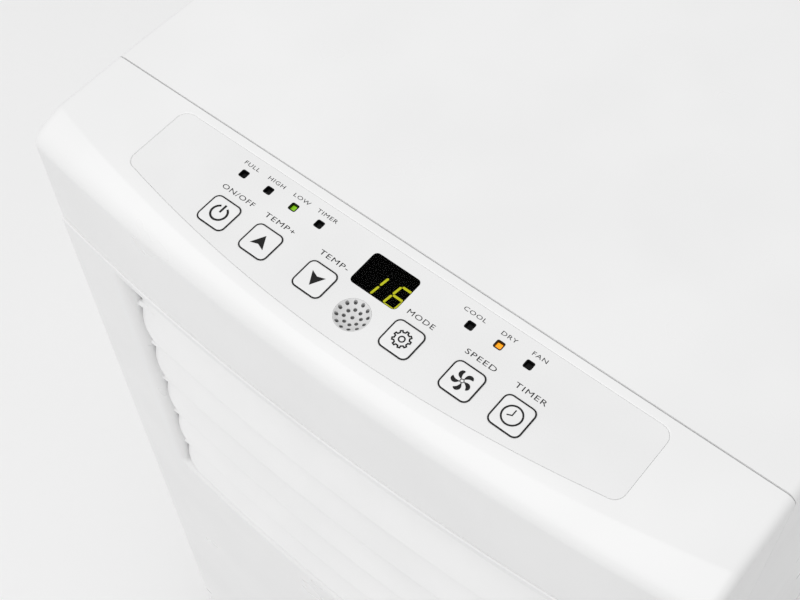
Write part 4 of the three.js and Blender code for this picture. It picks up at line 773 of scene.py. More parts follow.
# Velvet polycarbonate: a cool pale grey that takes no reflections, only a soft overall sheen.
film_plastic, shading = new_material("velvet_polycarbonate_film", {"IOR": 1.58, "Roughness": 0.5})
tint(shading, 40, "#e9e9e9", "#ececec")
vary(shading, 5, "Roughness", 0.46, 0.54)
grain(shading, 0.35, 0.006)

film = make("overlay_sheet", panel_stack([
    (film_outline(0), -FILM_SINK - FILM_T), (film_outline(0), -FILM_SINK - 0.08),
    (film_outline(-0.08), -FILM_SINK),
]), film_plastic)
carve(film, *panel_holes(-3, 1, 0.04))
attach(film, "cabinet")
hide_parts("overlay_film")

# ------------------------------------------------------------------ Keys
# Six rounded-square caps of the film's own pale grey, moulded in ABS with a very slight crown.
# Each has its outline and its sign pad-printed in dark grey, and presses a switch 0.6 mm below.

# Pad-printing ink: dark neutral grey, dry and slightly uneven where the pad laid it down.
ink, shading = new_material("dry_pad_printing_ink", {"Specular IOR Level": 0.2, "Roughness": 0.6})
tint(shading, 3, "#161616", "#1f1f1f")
grain(shading, 0.15, 0.002)

# Satin moulded ABS for the caps: a hair lighter and smoother than the film around them.
key_abs, shading = new_material("satin_key_abs", {"IOR": 1.54, "Roughness": 0.42})
tint(shading, 10, "#ebebeb", "#eeeeee")
grain(shading, 0.3, 0.003)

CROWN = 0.12
INK_T = 0.03
OUTLINE_W = 0.6
OUTLINE_IN = 0.05


def crown(u, v):
    """Height of a key's slightly domed top above the panel."""
    return CROWN * (1 - (u / KEY_HALF) ** 2) * (1 - (v / KEY_HALF) ** 2) - 0.02


def band(outer, inner, low, high):
    """A closed strip between two outlines of equal points."""
    return panel_stack([(outer, low), (outer, high), (inner, high), (inner, low)], closed=True)


def stroke(points, width):
    """The outline of an open printed line with that width."""
    left, right = [], []
    for here, (u, v) in enumerate(points):
        before, after = points[max(here - 1, 0)], points[min(here + 1, len(points) - 1)]
        du, dv = after[0] - before[0], after[1] - before[1]
        size = math.hypot(du, dv)
        left.append((u - dv / size * width / 2, v + du / size * width / 2))
        right.append((u + dv / size * width / 2, v - du / size * width / 2))
    return left + right[::-1]


def polar(radius, degrees):
    """A point at that distance and angle, anticlockwise from the right."""
    return radius * math.cos(math.radians(degrees)), radius * math.sin(math.radians(degrees))


def moved(points, centre):
    """Points shifted to lie about another centre."""
    return [(centre[0] + u, centre[1] + v) for u, v in points]


def power_sign():
    """An open ring with a bar through its gap."""
    ring = [polar(3.5, 118 + 304 * step / 40) for step in range(41)]
    return [stroke(ring, 0.9), stroke([(0, 0.3), (0, 4.35)], 0.9)], []


def arrow_sign(up):
    """A notched arrowhead."""
    return [[(0, 3.3 * up), (-3.3, -2.6 * up), (0, -1.4 * up), (3.3, -2.6 * up)]], []


def loop(points, width):
    """The outer and inner outline of a closed printed line with that width."""
    outer, inner = [], []
    for here, point in enumerate(points):
        before, after = Vector(points[here - 1]), Vector(points[(here + 1) % len(points)])
        into, out_of = (Vector(point) - before).normalized(), (after - Vector(point)).normalized()
        side = Vector((into.y + out_of.y, -into.x - out_of.x)).normalized()
        reach = width / 2 / max(side.dot(Vector((into.y, -into.x))), 0.6)
        outer.append(tuple(Vector(point) + side * reach))
        inner.append(tuple(Vector(point) - side * reach))
    return outer, inner


def gear_line(root, tip, teeth=9):
    """A gear wheel's middle line between two radii."""
    line = []
    for tooth in range(teeth):
        for share, radius in ((-0.27, root), (-0.17, tip), (0.17, tip), (0.27, root)):
            line.append(polar(radius, 360 * (tooth + share) / teeth + 90))
    return line


def gear_sign():
    """A gear drawn as an outline, with a ring in its middle."""
    return [], [loop(gear_line(2.95, 3.7), 0.58), loop(circle(1.2, steps=40), 0.58)]


def fan_sign():
    """Five swept blades, each a pointed crescent, round a small open hub."""
    edge = [(0.8, 152), (1.3, 156), (2.1, 158), (2.9, 155), (3.6, 147), (4.1, 137), (4.4, 126),
            (4.3, 115), (4.0, 107), (3.4, 113), (2.9, 119), (2.3, 124), (1.7, 129), (1.0, 139)]
    blades = [[polar(r, a + 72 * blade) for r, a in reversed(edge)] for blade in range(5)]
    return blades, [loop(circle(0.76, steps=24), 0.32)]


def clock_sign():
    """A clock face with two hands."""
    hands = [stroke([(0, -0.15), (0, 2.6)], 0.48), stroke([(0.15, 0.1), (-1.85, -0.75)], 0.48)]
    return hands, [loop(circle(3.98, steps=60), 0.68)]


SIGNS = {
    "key_power": power_sign(),
    "key_temp_up": arrow_sign(1),
    "key_temp_down": arrow_sign(-1),
    "key_mode": gear_sign(),
    "key_speed": fan_sign(),
    "key_timer": clock_sign(),
}

for key, (key_x, key_y) in key_places.items():
    rings = []
    for grow, z in ((1.2, -3.8), (1.2, -2.8), (0, -2.8), (0, -0.3), (-0.08, -0.12), (-0.25, -0.03)):
        rings.append([on_panel(u, v, z) for u, v in key_line(grow, (key_x, key_y))])
    for share in (0.8, 0.55, 0.3, 0.05):
        rings.append([on_panel(key_x + u * share, key_y + v * share, crown(u * share, v * share))
                      for u, v in key_line(-0.25)])
    cap = make(f"{key}_cap", stack(rings), key_abs)
    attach(cap, key)
    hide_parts(key)
    shapes, strips = SIGNS[key]
    spot = (key_x, key_y)
    skins = [band(key_line(-OUTLINE_IN, spot), key_line(-OUTLINE_IN - OUTLINE_W, spot), -0.2, 0.02)]
    skins += [flat_plate(moved(shape, spot), 0, CROWN + INK_T) for shape in shapes]
    skins += [band(moved(outer, spot), moved(inner, spot), 0, CROWN + INK_T) for outer, inner in strips]
    sign = make(f"{key}_print", merged(skins), ink)
    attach(sign, key)

# ------------------------------------------------------------------ Printed words on the film
# Plain words that say what each key and lamp is for, screen-printed in one pass of dark grey ink.
# The letters are wide and evenly spaced, 2.2 mm tall over the keys and 1.75 mm over the lamps.

# Each key's word, and how much wider than the font its letters are.
KEY_WORDS = {"key_power": ("ON/OFF", 1.36), "key_temp_up": ("TEMP+", 1.52),
             "key_temp_down": ("TEMP-", 1.52), "key_mode": ("MODE", 1.32),
             "key_speed": ("SPEED", 1.5), "key_timer": ("TIMER", 1.45)}
LAMP_WORDS = ("TIMER", "LOW", "HIGH", "FULL", "COOL", "DRY", "FAN")
WORD_NUDGES = (0, 0, 0, 0, -1.4, 0.9, 1.4)
KEY_WORD_H = 2.2
LAMP_WORD_H = 1.75
WORD_FROM_KEY = 11.2
WORD_FROM_LAMP = 5.0
LAMP_STRETCH = 1.36


def lettering(word):
    """A word as a mesh from the built-in font, its baseline on u and 1 unit to the font's size."""
    curve = bpy.data.curves.new(word, "FONT")
    curve.body = word
    curve.align_x = "CENTER"
    curve.space_character = 1.12
    curve.resolution_u = 3
    holder = bpy.data.objects.new(word, curve)
    bpy.context.scene.collection.objects.link(holder)
    flat = bpy.data.meshes.new_from_object(holder.evaluated_get(bpy.context.evaluated_depsgraph_get()))
    bpy.data.objects.remove(holder)
    return flat


CAP_HEIGHT = max(vertex.co.y for vertex in lettering("H").vertices)


def printed_word(word, stretch, height, centre):
    """A thin skin of ink in the shape of a word, lying on the film."""
    skin = bmesh.new()
    skin.from_mesh(lettering(word))
    bmesh.ops.remove_doubles(skin, verts=skin.verts, dist=0.0005)
    size = height / CAP_HEIGHT
    low = -FILM_SINK - 0.01
    for vertex in skin.verts:
        u = centre[0] + vertex.co.x * size * stretch
        v = centre[1] + vertex.co.y * size - height / 2
        vertex.co = Vector(on_panel(u, v, low)) / 1000
    rise = Vector(on_panel(0, 0, INK_T)) - Vector(on_panel(0, 0, 0))
    raised = bmesh.ops.extrude_face_region(skin, geom=skin.faces[:])
    for item in raised["geom"]:
        if isinstance(item, bmesh.types.BMVert):
            item.co += rise / 1000
    bmesh.ops.recalc_face_normals(skin, faces=skin.faces)
    return skin


words = [printed_word(*KEY_WORDS[key], KEY_WORD_H, (x, y + WORD_FROM_KEY))
         for key, (x, y) in key_places.items()]
words += [printed_word(word, LAMP_STRETCH, LAMP_WORD_H, (x + nudge, y + WORD_FROM_LAMP))
          for word, nudge, (x, y) in zip(LAMP_WORDS, WORD_NUDGES, lamp_places)]
legend = make("film_legend", merged(words), ink)
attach(legend, "cabinet")

# ------------------------------------------------------------------ Display
# A two-digit seven-segment display under a smoked window set flush with the film. The display's face
# lies 6.4 mm below, so the window's edge cuts off its digits when it is seen from the side.


def glow(shading, size, deep, bright, detail=2.0):
    """Lights a material from within, between two hex colours in patches of that size in mm."""
    tree, shader, place = shading
    cloud = add_node(tree, "TexNoise", {"Scale": per_mm(size), "Detail": detail}, {"Vector": place})
    tree.links.new(ramp(tree, cloud.outputs["Fac"], deep, bright), shader.inputs["Emission Color"])


# Smoked cast acrylic, polished and coated: near black, a faint gloss, and lit things show through.
smoked_acrylic, shading = new_material(
    "polished_smoked_acrylic", {"Alpha": 0.25, "Specular IOR Level": 0.08, "Roughness": 0.05})
tint(shading, 20, "#050505", "#070707")

# Matt black epoxy round the segments: takes the light out of the display's face.
display_black, shading = new_material("matt_black_epoxy", {"Specular IOR Level": 0.03, "Roughness": 0.9})
tint(shading, 5, "#040404", "#070707")

# A lit segment: a yellow-green diffuser with its lamp behind, not quite even along its length.
lit_segment, shading = new_material(
    "lit_yellow_green_diffuser", {"Roughness": 0.4, "Emission Strength": 1.7})
tint(shading, 2, "#3a3d05", "#40440a")
glow(shading, 2.5, "#b3b416", "#c8ca22", 1.0)

DISPLAY_DEPTH = 6.4
DIGIT_TOP = -FILM_SINK - DISPLAY_DEPTH
DIGIT_H = 11.1
DIGIT_W = 5.4
DIGIT_PITCH = 11.8
DIGITS_PLACE = (WINDOW_PLACE[0], WINDOW_PLACE[1] - 0.2)
DIGIT_SLANT = math.tan(math.radians(7))
SEGMENT_W = 1.0
SEGMENT_GAP = 0.24
HOOD_WALL = 0.2
PLATE_T = 1.5
MODULE_LOW = -11.7


window = make("smoked_window", panel_stack([
    (window_line(-HOOD_WALL - 0.02), -FILM_SINK - PLATE_T),
    (window_line(-HOOD_WALL - 0.02), -FILM_SINK - 0.05),
    (window_line(-HOOD_WALL - 0.1), -FILM_SINK),
]), smoked_acrylic)
hood = make("window_hood", merged([
    band(window_line(0), window_line(-HOOD_WALL), DIGIT_TOP + 0.02, -FILM_SINK - 0.02),
    band(window_line(1), window_line(-0.1), -3.6, -2.8),
]), display_black)
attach(hood, "cabinet")
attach(window, "cabinet")
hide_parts("display_window")

# Where each segment runs, as (column, row) of its two ends.
SEGMENTS = {
    "top": ((0, 2), (1, 2)), "middle": ((0, 1), (1, 1)), "bottom": ((0, 0), (1, 0)),
    "upper_left": ((0, 1), (0, 2)), "upper_right": ((1, 1), (1, 2)),
    "lower_left": ((0, 0), (0, 1)), "lower_right": ((1, 0), (1, 1)),
}
SHOWN = {
    1: ("upper_right", "lower_right"),
    6: ("top", "upper_left", "middle", "lower_left", "lower_right", "bottom"),
}


def segment(start, end, centre):
    """One segment: a bar with pointed ends, slanted with its digit."""
    half_w, half_h = DIGIT_W / 2, DIGIT_H / 2 - SEGMENT_W / 2
    a, b = [Vector(((column * 2 - 1) * half_w, (row - 1) * half_h)) for column, row in (start, end)]
    along = (b - a).normalized()
    across = Vector((-along.y, along.x)) * SEGMENT_W / 2
    tip = along * SEGMENT_GAP
    shoulder = along * (SEGMENT_GAP + SEGMENT_W * 0.42)
    outline = [a + tip, a + shoulder - across, b - shoulder - across,
               b - tip, b - shoulder + across, a + shoulder + across]
    return [(centre[0] + p.x + p.y * DIGIT_SLANT, centre[1] + p.y) for p in outline]


module_block = make("display_block", panel_stack([
    (window_line(0.9), MODULE_LOW), (window_line(0.9), DIGIT_TOP - 0.2), (window_line(0.7), DIGIT_TOP),
]), display_black)
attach(module_block, "cabinet")
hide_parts("display_module")
bars = []
for digit, side in ((1, -1), (6, 1)):
    centre = (DIGITS_PLACE[0] + side * DIGIT_PITCH / 2, DIGITS_PLACE[1])
    bars += [flat_plate(segment(*SEGMENTS[name], centre), DIGIT_TOP - 0.1, DIGIT_TOP + 0.1)
             for name in SHOWN[digit]]
digits = make("display_digits", merged(bars), lit_segment)
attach(digits, "cabinet")

# ------------------------------------------------------------------ Indicator lamps
# One black light guide carries a square tube up to each lamp window in the film, with a small lens
# set 1.2 mm down in it. The lenses of the low speed and the drying lamp are lit, green and amber.

LENS_DOWN = 1.2
TUBE_WALL = 0.45

# Lit lenses: clear polystyrene over a lamp, so the colour is full and nearly even to the corners.
lens_colours = {"green": ("#5f9a08", "#7cb312"), "amber": ("#f08a06", "#ffa31a")}
lens_materials = {}
for colour, (deep, bright) in lens_colours.items():
    lens_materials[colour], shading = new_material(
        f"lit_{colour}_polystyrene", {"Roughness": 0.3, "Emission Strength": 0.75})
    tint(shading, 1.5, deep, bright)
    glow(shading, 2, deep, bright)

# Unlit lenses and the guide: the same moulding in a dark smoke tint, satin and almost black.
dark_lens, shading = new_material(
    "smoked_polystyrene_lens", {"Specular IOR Level": 0.15, "Roughness": 0.35})
tint(shading, 2, "#050506", "#09090a")

GUIDE_BAR = (-8.8, -5.3)
GUIDE_LOW, GUIDE_TOP = -6.2, -4.6
ARM_W = 2
guide_box = corners("indicator_light_guide")


def guide_strip(x0, x1, y0, y1):
    """A straight stretch of the guide's bar, in the panel's own frame."""
    return flat_plate([(x0, y0), (x1, y0), (x1, y1), (x0, y1)], GUIDE_LOW, GUIDE_TOP)


guide_skins = [band(square(LAMP_HALF, LAMP_CORNER, spot), square(LAMP_HALF - TUBE_WALL, 0.35, spot),
                    GUIDE_TOP, -FILM_SINK) for spot in lamp_places]
guide_skins.append(guide_strip(guide_box[0].x, guide_box[1].x, *GUIDE_BAR))
guide_skins += [guide_strip(x - ARM_W / 2, x + ARM_W / 2, y, GUIDE_BAR[0] + 0.1) for x, y in lamp_places]
guide = make("lamp_light_guide", merged(guide_skins), dark_lens)
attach(guide, "cabinet")
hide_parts("indicator_light_guide")
LIT = {"LOW": "green", "DRY": "amber"}
for word, spot in zip(LAMP_WORDS, lamp_places):
    half = LAMP_HALF - TUBE_WALL
    side = "right" if spot[0] > 0 else "left"
    down = -FILM_SINK - LENS_DOWN
    lens = make(f"lamp_lens_{side}_{word.lower()}", panel_stack([
        (square(half, 0.3, spot, 4), GUIDE_TOP), (square(half, 0.3, spot, 4), down - 0.2),
        (square(half - 0.2, 0.3, spot, 4), down),
    ]), lens_materials[LIT[word]] if word in LIT else dark_lens)
    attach(lens, "cabinet")

# ------------------------------------------------------------------ Buzzer grille
# A dished round insert with 21 sound holes, one in the middle and two rings round it, moulded in a
# darker grey ABS than the caps. It is set in from behind, and the beeper sits under it.

# Satin grey ABS of the insert: a step darker than the film, so the disc reads as a separate piece.
sounder_abs, shading = new_material("satin_grey_sounder_abs", {"IOR": 1.54, "Roughness": 0.38})
tint(shading, 6, "#d2d2d2", "#dadada")
grain(shading, 0.3, 0.003)

HOLE_R = 0.8
DISH = 2.0
PLATE = 0.6
RIM_W = 1.2


def dish(profile):
    """A turned skin standing on the panel; the profile holds (radius, height) pairs."""
    return panel_stack([(circle(r, BUZZER_PLACE, 72), z) for r, z in profile])


shares = [1 - step / 15 for step in range(15)]
bowl = [(share * (BUZZER_R - 0.3), -FILM_SINK - 0.05 - DISH * (1 - share ** 3)) for share in shares]
rim = [(BUZZER_R - RIM_W, -FILM_SINK - 2 * DISH), (BUZZER_R, -FILM_SINK - 2 * DISH),
       (BUZZER_R, -FILM_SINK - 0.1), (BUZZER_R - 0.1, -FILM_SINK)]
under = [(r, z - PLATE) for r, z in reversed(bowl[2:])] + [(BUZZER_R - RIM_W, -FILM_SINK - DISH)]
grille = make("sounder_grille", dish(under + rim + bowl), sounder_abs)
holes = [(0, 0)]
for ring_r, count, start in ((3.4, 8, 22), (6.1, 12, 28)):
    holes += [polar(ring_r, start + 360 * n / count) for n in range(count)]
carve(grille, *[flat_plate(circle(HOLE_R, spot, 16), -5, 0.5) for spot in moved(holes, BUZZER_PLACE)])

# Dust cloth: grey woven polyester glued under the holes, so they read dark grey and not black.
dust_cloth, shading = new_material("grey_dust_cloth", {"Roughness": 0.9})
tint(shading, 0.4, "#4a4a4a", "#666666")
cloth_low = [(r, z - PLATE - 0.25) for r, z in reversed(bowl[2:])]
cloth_top = [(r, z - PLATE - 0.05) for r, z in bowl[2:]]
cloth = make("sounder_dust_cloth", dish(cloth_low + cloth_top), dust_cloth)
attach(cloth, "cabinet")
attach(grille, "cabinet")
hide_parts("buzzer_grille")

# ------------------------------------------------------------------ Control board
# The circuit board behind the panel: fibreglass with green solder mask, held on two moulded bosses.
# Only a trace of it can be seen, through the gaps round the keys.

# Green solder mask over copper: satin, with the tracks under it showing as a faint lighter net.
solder_mask, shading = new_material("green_solder_mask", {"IOR": 1.5, "Roughness": 0.35})
tree, shader, place = shading
tracks = add_node(tree, "TexVoronoi", {"Scale": per_mm(6)}, {"Vector": place}, feature="DISTANCE_TO_EDGE")
trace = ramp(tree, tracks.outputs["Distance"], "#1d6b3c", "#0f4a28", 0.03, 0.06)
tree.links.new(trace, shader.inputs["Base Color"])

# ------------------------------------------------------------------ Front panel
# The U-shaped front shell: white ABS, with the air outlet and its sleeve moulded in one with it.
# Its top edge stands 0.9 mm proud of the fascia, and the outlet's mouth is rolled inwards.

PANEL_LOW, PANEL_TOP = corners("front_panel")[0].z, BAND_Z - 0.1
SLEEVE_BACK = corners("front_panel")[1].y
TOP_ROUND = 0.4
OUTLET_HALF_W = 121
OUTLET_LOW, OUTLET_TOP = 439.8, 616.9
OUTLET_CORNER = 2
SIDE_ROLL, LOW_ROLL, TOP_ROLL = 7, 3, 0.6
ROLL_DEPTH = 6


def front_plan(outer, z, wall=WALL):
    """U-shaped plan of the front panel at height z: round the outside, then back along the inside."""
    end = SEAM_Y - SEAM_HALF
    outside = [(x, front_y(x, outer)) for x in front_stations(outer)]
    inside = [(x, front_y(x, wall)) for x in front_stations(wall)]
    side = HALF_W - outer
    left = [(-side + 0.5, end), (-side + 0.1, end - 0.12), (-side, end - 0.6)]
    right = [(-x, y) for x, y in reversed(left)]
    line = left + outside + right + [(HALF_W - wall, end)] + inside[::-1] + [(-HALF_W + wall, end)]
    return [(x, y, z) for x, y in line]


def outlet_outline(roll):
    """The outlet's rounded mouth, from its true size at 0 to fully rolled out at 1."""
    half = OUTLET_HALF_W + SIDE_ROLL * roll
    low, high = OUTLET_LOW - LOW_ROLL * roll, OUTLET_TOP + TOP_ROLL * roll
    outline = rounded(half, (high - low) / 2, OUTLET_CORNER + 3 * roll, (0, (low + high) / 2), 6)
    dense = []
    for (u0, v0), (u1, v1) in zip(outline, outline[1:] + outline[:1]):
        pieces = 40 if abs(u1 - u0) > half else 1
        dense += [(u0 + (u1 - u0) * n / pieces, v0 + (v1 - v0) * n / pieces) for n in range(pieces)]
    return dense


panel_rings = [front_plan(SHELL_EDGE, PANEL_LOW), front_plan(0, PANEL_LOW + SHELL_EDGE)]
panel_rings += [front_plan(TOP_ROUND * into, PANEL_TOP - TOP_ROUND * out) for out, into in quarter(4)]
front = make("front_shell", stack(panel_rings), white_abs)
sleeve_half = OUTLET_HALF_W + WALL
sleeve_x = [sleeve_half * (step / 12 - 1) for step in range(25)]
sleeve = [(x, front_y(x) + WALL / 2) for x in sleeve_x]
sleeve += [(sleeve_half, SLEEVE_BACK), (-sleeve_half, SLEEVE_BACK)]
sleeve_levels = (OUTLET_LOW - WALL, OUTLET_TOP + WALL)
carve(front, stack([[(x, y, z) for x, y in sleeve] for z in sleeve_levels]), how="UNION")
mouth = [[(u, FRONT - 5, v) for u, v in outlet_outline(1)]]
for out, into in quarter(7):
    mouth.append([(u, front_y(u) + ROLL_DEPTH * into, v) for u, v in outlet_outline(out)])
mouth.append([(u, SLEEVE_BACK + 1, v) for u, v in outlet_outline(0)])
carve(front, stack(mouth))
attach(front, "cabinet")
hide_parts("front_panel")

# ------------------------------------------------------------------ Louvres
# Five horizontal blades that close over each other across the outlet, bowed like the cabinet's front.
# Injection-moulded white ABS with round-cornered ends, a pin at each end and an ear for the link.

# Louvre white: the housing's ABS with a finer satin, so each blade shades softly along its height. Its colour
# is painted lighter than the housing's white, as painted light for what the blades catch as they lean back.
lit_louvre_white, shading = new_material("satin_louvre_abs_painted_lighter", {"IOR": 1.54, "Roughness": 0.36})
# Painted light: this tint is lighter than the housing's white, standing in for the light that falls on the
# leaning blades.
tint(shading, 50, "#f7f7f7", "#fafafa")
vary(shading, 10, "Roughness", 0.33, 0.39)
grain(shading, 1.2, 0.003)

LOUVRE_HALF_W = 119
BOW_ZERO_X = 114
LOUVRE_H = 39
LOUVRE_T = 3.2
LOUVRE_TILT = math.radians(13)
LOUVRE_END = 11
LOUVRE_PIN_R = 2
PIN_ROOT_X = 111
LOUVRE_Y = -137.996
LOUVRE_FIRST_Z = 592.0
LOUVRE_PITCH = 33
LINK_PIN = (11, 21)
EAR_X = -104
LOUVRE_STEPS = 20


def louvre_slice(x, place_y, place_z):
    """One slice across a blade: a long round-edged bar, leaning back at the top."""
    reach = LOUVRE_HALF_W - LOUVRE_END
    over = max(abs(x) - reach, 0)
    trim = LOUVRE_END - math.sqrt(max(LOUVRE_END ** 2 - over ** 2, 0))
    half = LOUVRE_H / 2 - trim - LOUVRE_T / 2
    bow = FRONT_BOW * ((x / HALF_W) ** 2 - (BOW_ZERO_X / HALF_W) ** 2)
    ring = []
    for side, start in ((1, 0), (-1, math.pi)):
        for step in range(9):
            a = start + math.pi * step / 8
            across = LOUVRE_T / 2 * math.cos(a)
            up = side * half + LOUVRE_T / 2 * math.sin(a)
            ring.append((x, place_y + bow + across * math.cos(LOUVRE_TILT) + up * math.sin(LOUVRE_TILT),
                         place_z + up * math.cos(LOUVRE_TILT) - across * math.sin(LOUVRE_TILT)))
    return ring


def louvre_stations():
    """Even steps along the blade, then closer ones round each end."""
    reach = LOUVRE_HALF_W - LOUVRE_END
    turn = [reach + LOUVRE_END * math.sin(math.pi / 2 * step / 12) for step in range(1, 13)]
    straight = [reach * (2 * step / LOUVRE_STEPS - 1) for step in range(LOUVRE_STEPS + 1)]
    return [-x for x in reversed(turn)] + straight + turn


def along_blade(up):
    """A spot on the blade's middle plane, from its hinge line."""
    return up * math.sin(LOUVRE_TILT), up * math.cos(LOUVRE_TILT)


for row in range(5):
    blade_y, blade_z = LOUVRE_Y, LOUVRE_FIRST_Z - row * LOUVRE_PITCH
    pin_end = corners(f"louvre_blade_{row + 1}")[1].x
    pin_u, pin_v = LINK_PIN
    ear = [along_blade(LOUVRE_H * 0.15), (pin_u + 3, pin_v - 2.5), (pin_u + 3, pin_v + 2.5),
           (pin_u - 2.5, pin_v + 2.5), along_blade(LOUVRE_H * 0.45)]
    skins = [stack([louvre_slice(x, blade_y, blade_z) for x in louvre_stations()])]
    skins.append(extruded(ear, lambda u, v, w: (w, blade_y + u, blade_z + v), EAR_X, EAR_X + 2, 0.3))
    skins.append(turned([(1.2, EAR_X + 1), (1.2, EAR_X + 6.2), (0.9, EAR_X + 6.4)], "x",
                        (0, blade_y + pin_u, blade_z + pin_v), 16))
    for end in (-1, 1):
        skins.append(turned([(LOUVRE_PIN_R, end * PIN_ROOT_X), (LOUVRE_PIN_R, end * (pin_end - 0.4)),
                             (LOUVRE_PIN_R - 0.4, end * pin_end)], "x", (0, blade_y, blade_z), 24))
    blade = make(f"louvre_{row + 1}", merged(skins), lit_louvre_white)
    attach(blade, f"louvre_blade_{row + 1}")
    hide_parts(f"louvre_blade_{row + 1}")

# ------------------------------------------------------------------ Vanes and links
# Five upright vanes behind the louvres turn the air from side to side. The vanes share one link bar
# and the louvres another, all of them plain mouldings in light grey ABS.

# Light grey ABS, moulded matt: the darker neutral of parts that are meant to be looked past.
grey_abs, shading = new_material("matt_light_grey_abs", {"IOR": 1.54, "Roughness": 0.48})
tint(shading, 30, "#c9c9c8", "#cfcfce")
grain(shading, 0.8, 0.01)

# ------------------------------------------------------------------ Inside
# What the grilles and the outlet let the eye reach: coils, fans, ducts, motors and the compressor.
# Each keeps its own trade finish: bare fins, drawn copper, zinc plate, black paint, grey mouldings.


def stripes(tree, place, pitch, direction):
    """Even stripes that repeat once in that many mm."""
    wave = add_node(tree, "TexWave", {"Scale": per_mm(pitch) / 20 * math.pi}, {"Vector": place},
                    wave_type="BANDS", bands_direction=direction)
    return wave.outputs["Fac"]


# Fin stock: bare aluminium stacked at 1.5 mm, seen as fine dark and bright upright lines. The dark lines are
# painted shade in the gaps between the fins.
fins, shading = new_material("stacked_aluminium_fins_gap_shade", {"Metallic": 1.0, "Roughness": 0.34})
tree, shader, place = shading
# Painted shade: the dark end of this ramp paints the shadowed gaps between the fins.
sheet = ramp(tree, stripes(tree, place, 1.5, "X"), "#2c2e30", "#c6c9cb")
tree.links.new(sheet, shader.inputs["Base Color"])

# Filter: grey polypropylene frame round a square net with 1.2 mm openings. The openings are painted dark, as
# painted shade for the dim inside seen through them.
filter_net, shading = new_material("polypropylene_filter_net_opening_shade", {"IOR": 1.49, "Roughness": 0.6})
tree, shader, place = shading
weave = {0: stripes(tree, place, 1.2, "X"), 1: stripes(tree, place, 1.2, "Z")}
threads = add_node(tree, "Math", links=weave, operation="MAXIMUM")
# Painted shade: the dark end of this ramp fills the net's openings with the shade behind them.
net = ramp(tree, threads.outputs["Value"], "#2e3032", "#85888b", 0.7, 0.85)
tree.links.new(net, shader.inputs["Base Color"])

# Inner ducts: off-white high-impact polystyrene, dull, never polished because nobody sees it.
inner_white, shading = new_material("dull_duct_polystyrene", {"IOR": 1.59, "Roughness": 0.6})
tint(shading, 25, "#d6d8d6", "#dddfdd")
grain(shading, 1.5, 0.01)

# Grey flame-retardant box for the terminals: mid grey, matt.
grey_box, shading = new_material("flame_retardant_grey_abs", {"IOR": 1.54, "Roughness": 0.5})
tint(shading, 20, "#a8abad", "#aeb1b3")
grain(shading, 0.8, 0.01)

# Black stove paint on the compressor shell: satin, faint orange-peel from spraying.
black_paint, shading = new_material("satin_black_stove_paint", {"IOR": 1.5, "Roughness": 0.35})
tint(shading, 15, "#121213", "#18181a")
grain(shading, 2.5, 0.04)

# Drawn copper tube: warm bright metal, browned in patches where the flame of brazing reached it.
copper, shading = new_material("drawn_copper_tube", {"Metallic": 1.0, "Roughness": 0.28})
tint(shading, 12, "#a4603c", "#cf8a66")

# Drawn aluminium can of the run capacitor: pale satin metal.
drawn_can, shading = new_material("drawn_aluminium_can", {"Metallic": 1.0, "Roughness": 0.4})
tint(shading, 8, "#c3c6c8", "#cfd2d4")

INSIDE = {
    "evaporator_coil": fins, "condenser_coil": fins, "upper_filter": filter_net, "lower_filter": filter_net,
    "evaporator_scroll": inner_white, "condenser_scroll": inner_white, "partition_tray": inner_white,
    "float_ring": inner_white, "float_switch": black_abs, "evaporator_wheel": black_abs,
    "condenser_wheel": black_abs, "evaporator_motor": zinc_steel, "condenser_motor": zinc_steel,
    "compressor": black_paint, "accumulator": black_paint, "discharge_pipe": copper, "suction_pipe": copper,
    "electrical_box": grey_box, "run_capacitor": drawn_can, "control_board": solder_mask,
    "louvre_link_bar": grey_abs, "vane_link_bar": grey_abs,
}
INSIDE.update({f"vane_{number}": grey_abs for number in range(1, 6)})
for name, material in INSIDE.items():
    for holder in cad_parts[name].material_slots:
        holder.material = material

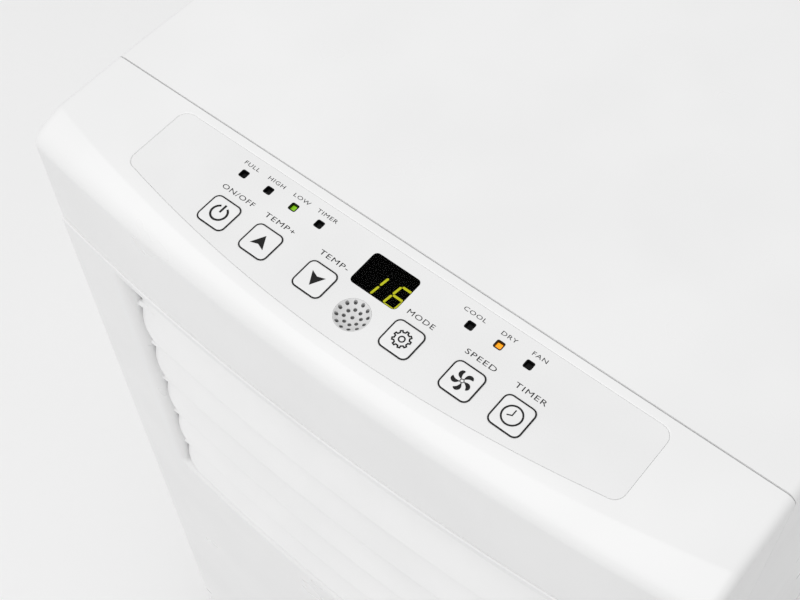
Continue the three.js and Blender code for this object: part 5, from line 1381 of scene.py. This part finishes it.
# Each filter's outer end is a grey strip that fills its slot in the right side, to pull it out by.
STRIP_X = (163, 166.2)
FILTER_T = 5
for name in ("upper_filter", "lower_filter"):
    low, high = corners(name)
    outline = rounded(FILTER_T / 2 - 0.1, (high.z - low.z) / 2 - 1, 0.8,
                      ((low.y + high.y) / 2, (low.z + high.z) / 2))
    handle = make(f"{name}_pull_strip", stack([[(x, u, v) for u, v in outline] for x in STRIP_X]), grey_abs)
    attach(handle, name)

# ------------------------------------------------------------------ Floor, light and camera
# A plain pale floor, a bright even sky and one wide soft light overhead.
# The camera stands to the right of the front, well above it, and looks down on the controls.

# Matt painted board: nearly white, no shine, so that only a soft contact shadow shows.
painted_board, shading = new_material("matt_white_board", {"IOR": 1.45, "Roughness": 0.9})
tint(shading, 900, "#f7f7f7", "#fafafa")

FLOOR_HALF_M = 6
floor_skin = bmesh.new()
floor_skin.faces.new([floor_skin.verts.new((u * FLOOR_HALF_M, v * FLOOR_HALF_M, 0))
                      for u, v in ((-1, -1), (1, -1), (1, 1), (-1, 1))])
floor = make("studio_floor", floor_skin, painted_board)

world = bpy.data.worlds.new("even_sky")
world.use_nodes = True
sky = world.node_tree.nodes["Background"]
sky.inputs["Color"].default_value = (1, 1, 1, 1)
sky.inputs["Strength"].default_value = 0.6
bpy.context.scene.world = world

lamp_data = bpy.data.lights.new("overhead_softbox", "AREA")
lamp_data.shape = "DISK"
lamp_data.size = 3.8
lamp_data.energy = 42
overhead = bpy.data.objects.new("overhead_softbox", lamp_data)
overhead.location = (-0.4, -1.0, 2.9)
overhead.rotation_euler = (Vector((0, 0, 0.5)) - overhead.location).to_track_quat("-Z", "Y").to_euler()
bpy.context.scene.collection.objects.link(overhead)

right, up, back = (0.76664, 0.64147, -0.0280), (-0.52, 0.64587, 0.55898), (0.37665, -0.41398, 0.8287)
place_mm = (197.9, -313.75, 1092.87)
camera_data = bpy.data.cameras.new("three_quarter_view")
camera_data.lens = 60.04
camera_data.sensor_width = 36
camera_data.clip_start = 0.01
camera = bpy.data.objects.new("three_quarter_view", camera_data)
camera.matrix_world = Matrix([
    [right[axis], up[axis], back[axis], place_mm[axis] / 1000] for axis in range(3)
] + [[0, 0, 0, 1]])
bpy.context.scene.collection.objects.link(camera)
bpy.context.scene.camera = camera
bpy.context.scene.view_settings.view_transform = "Standard"
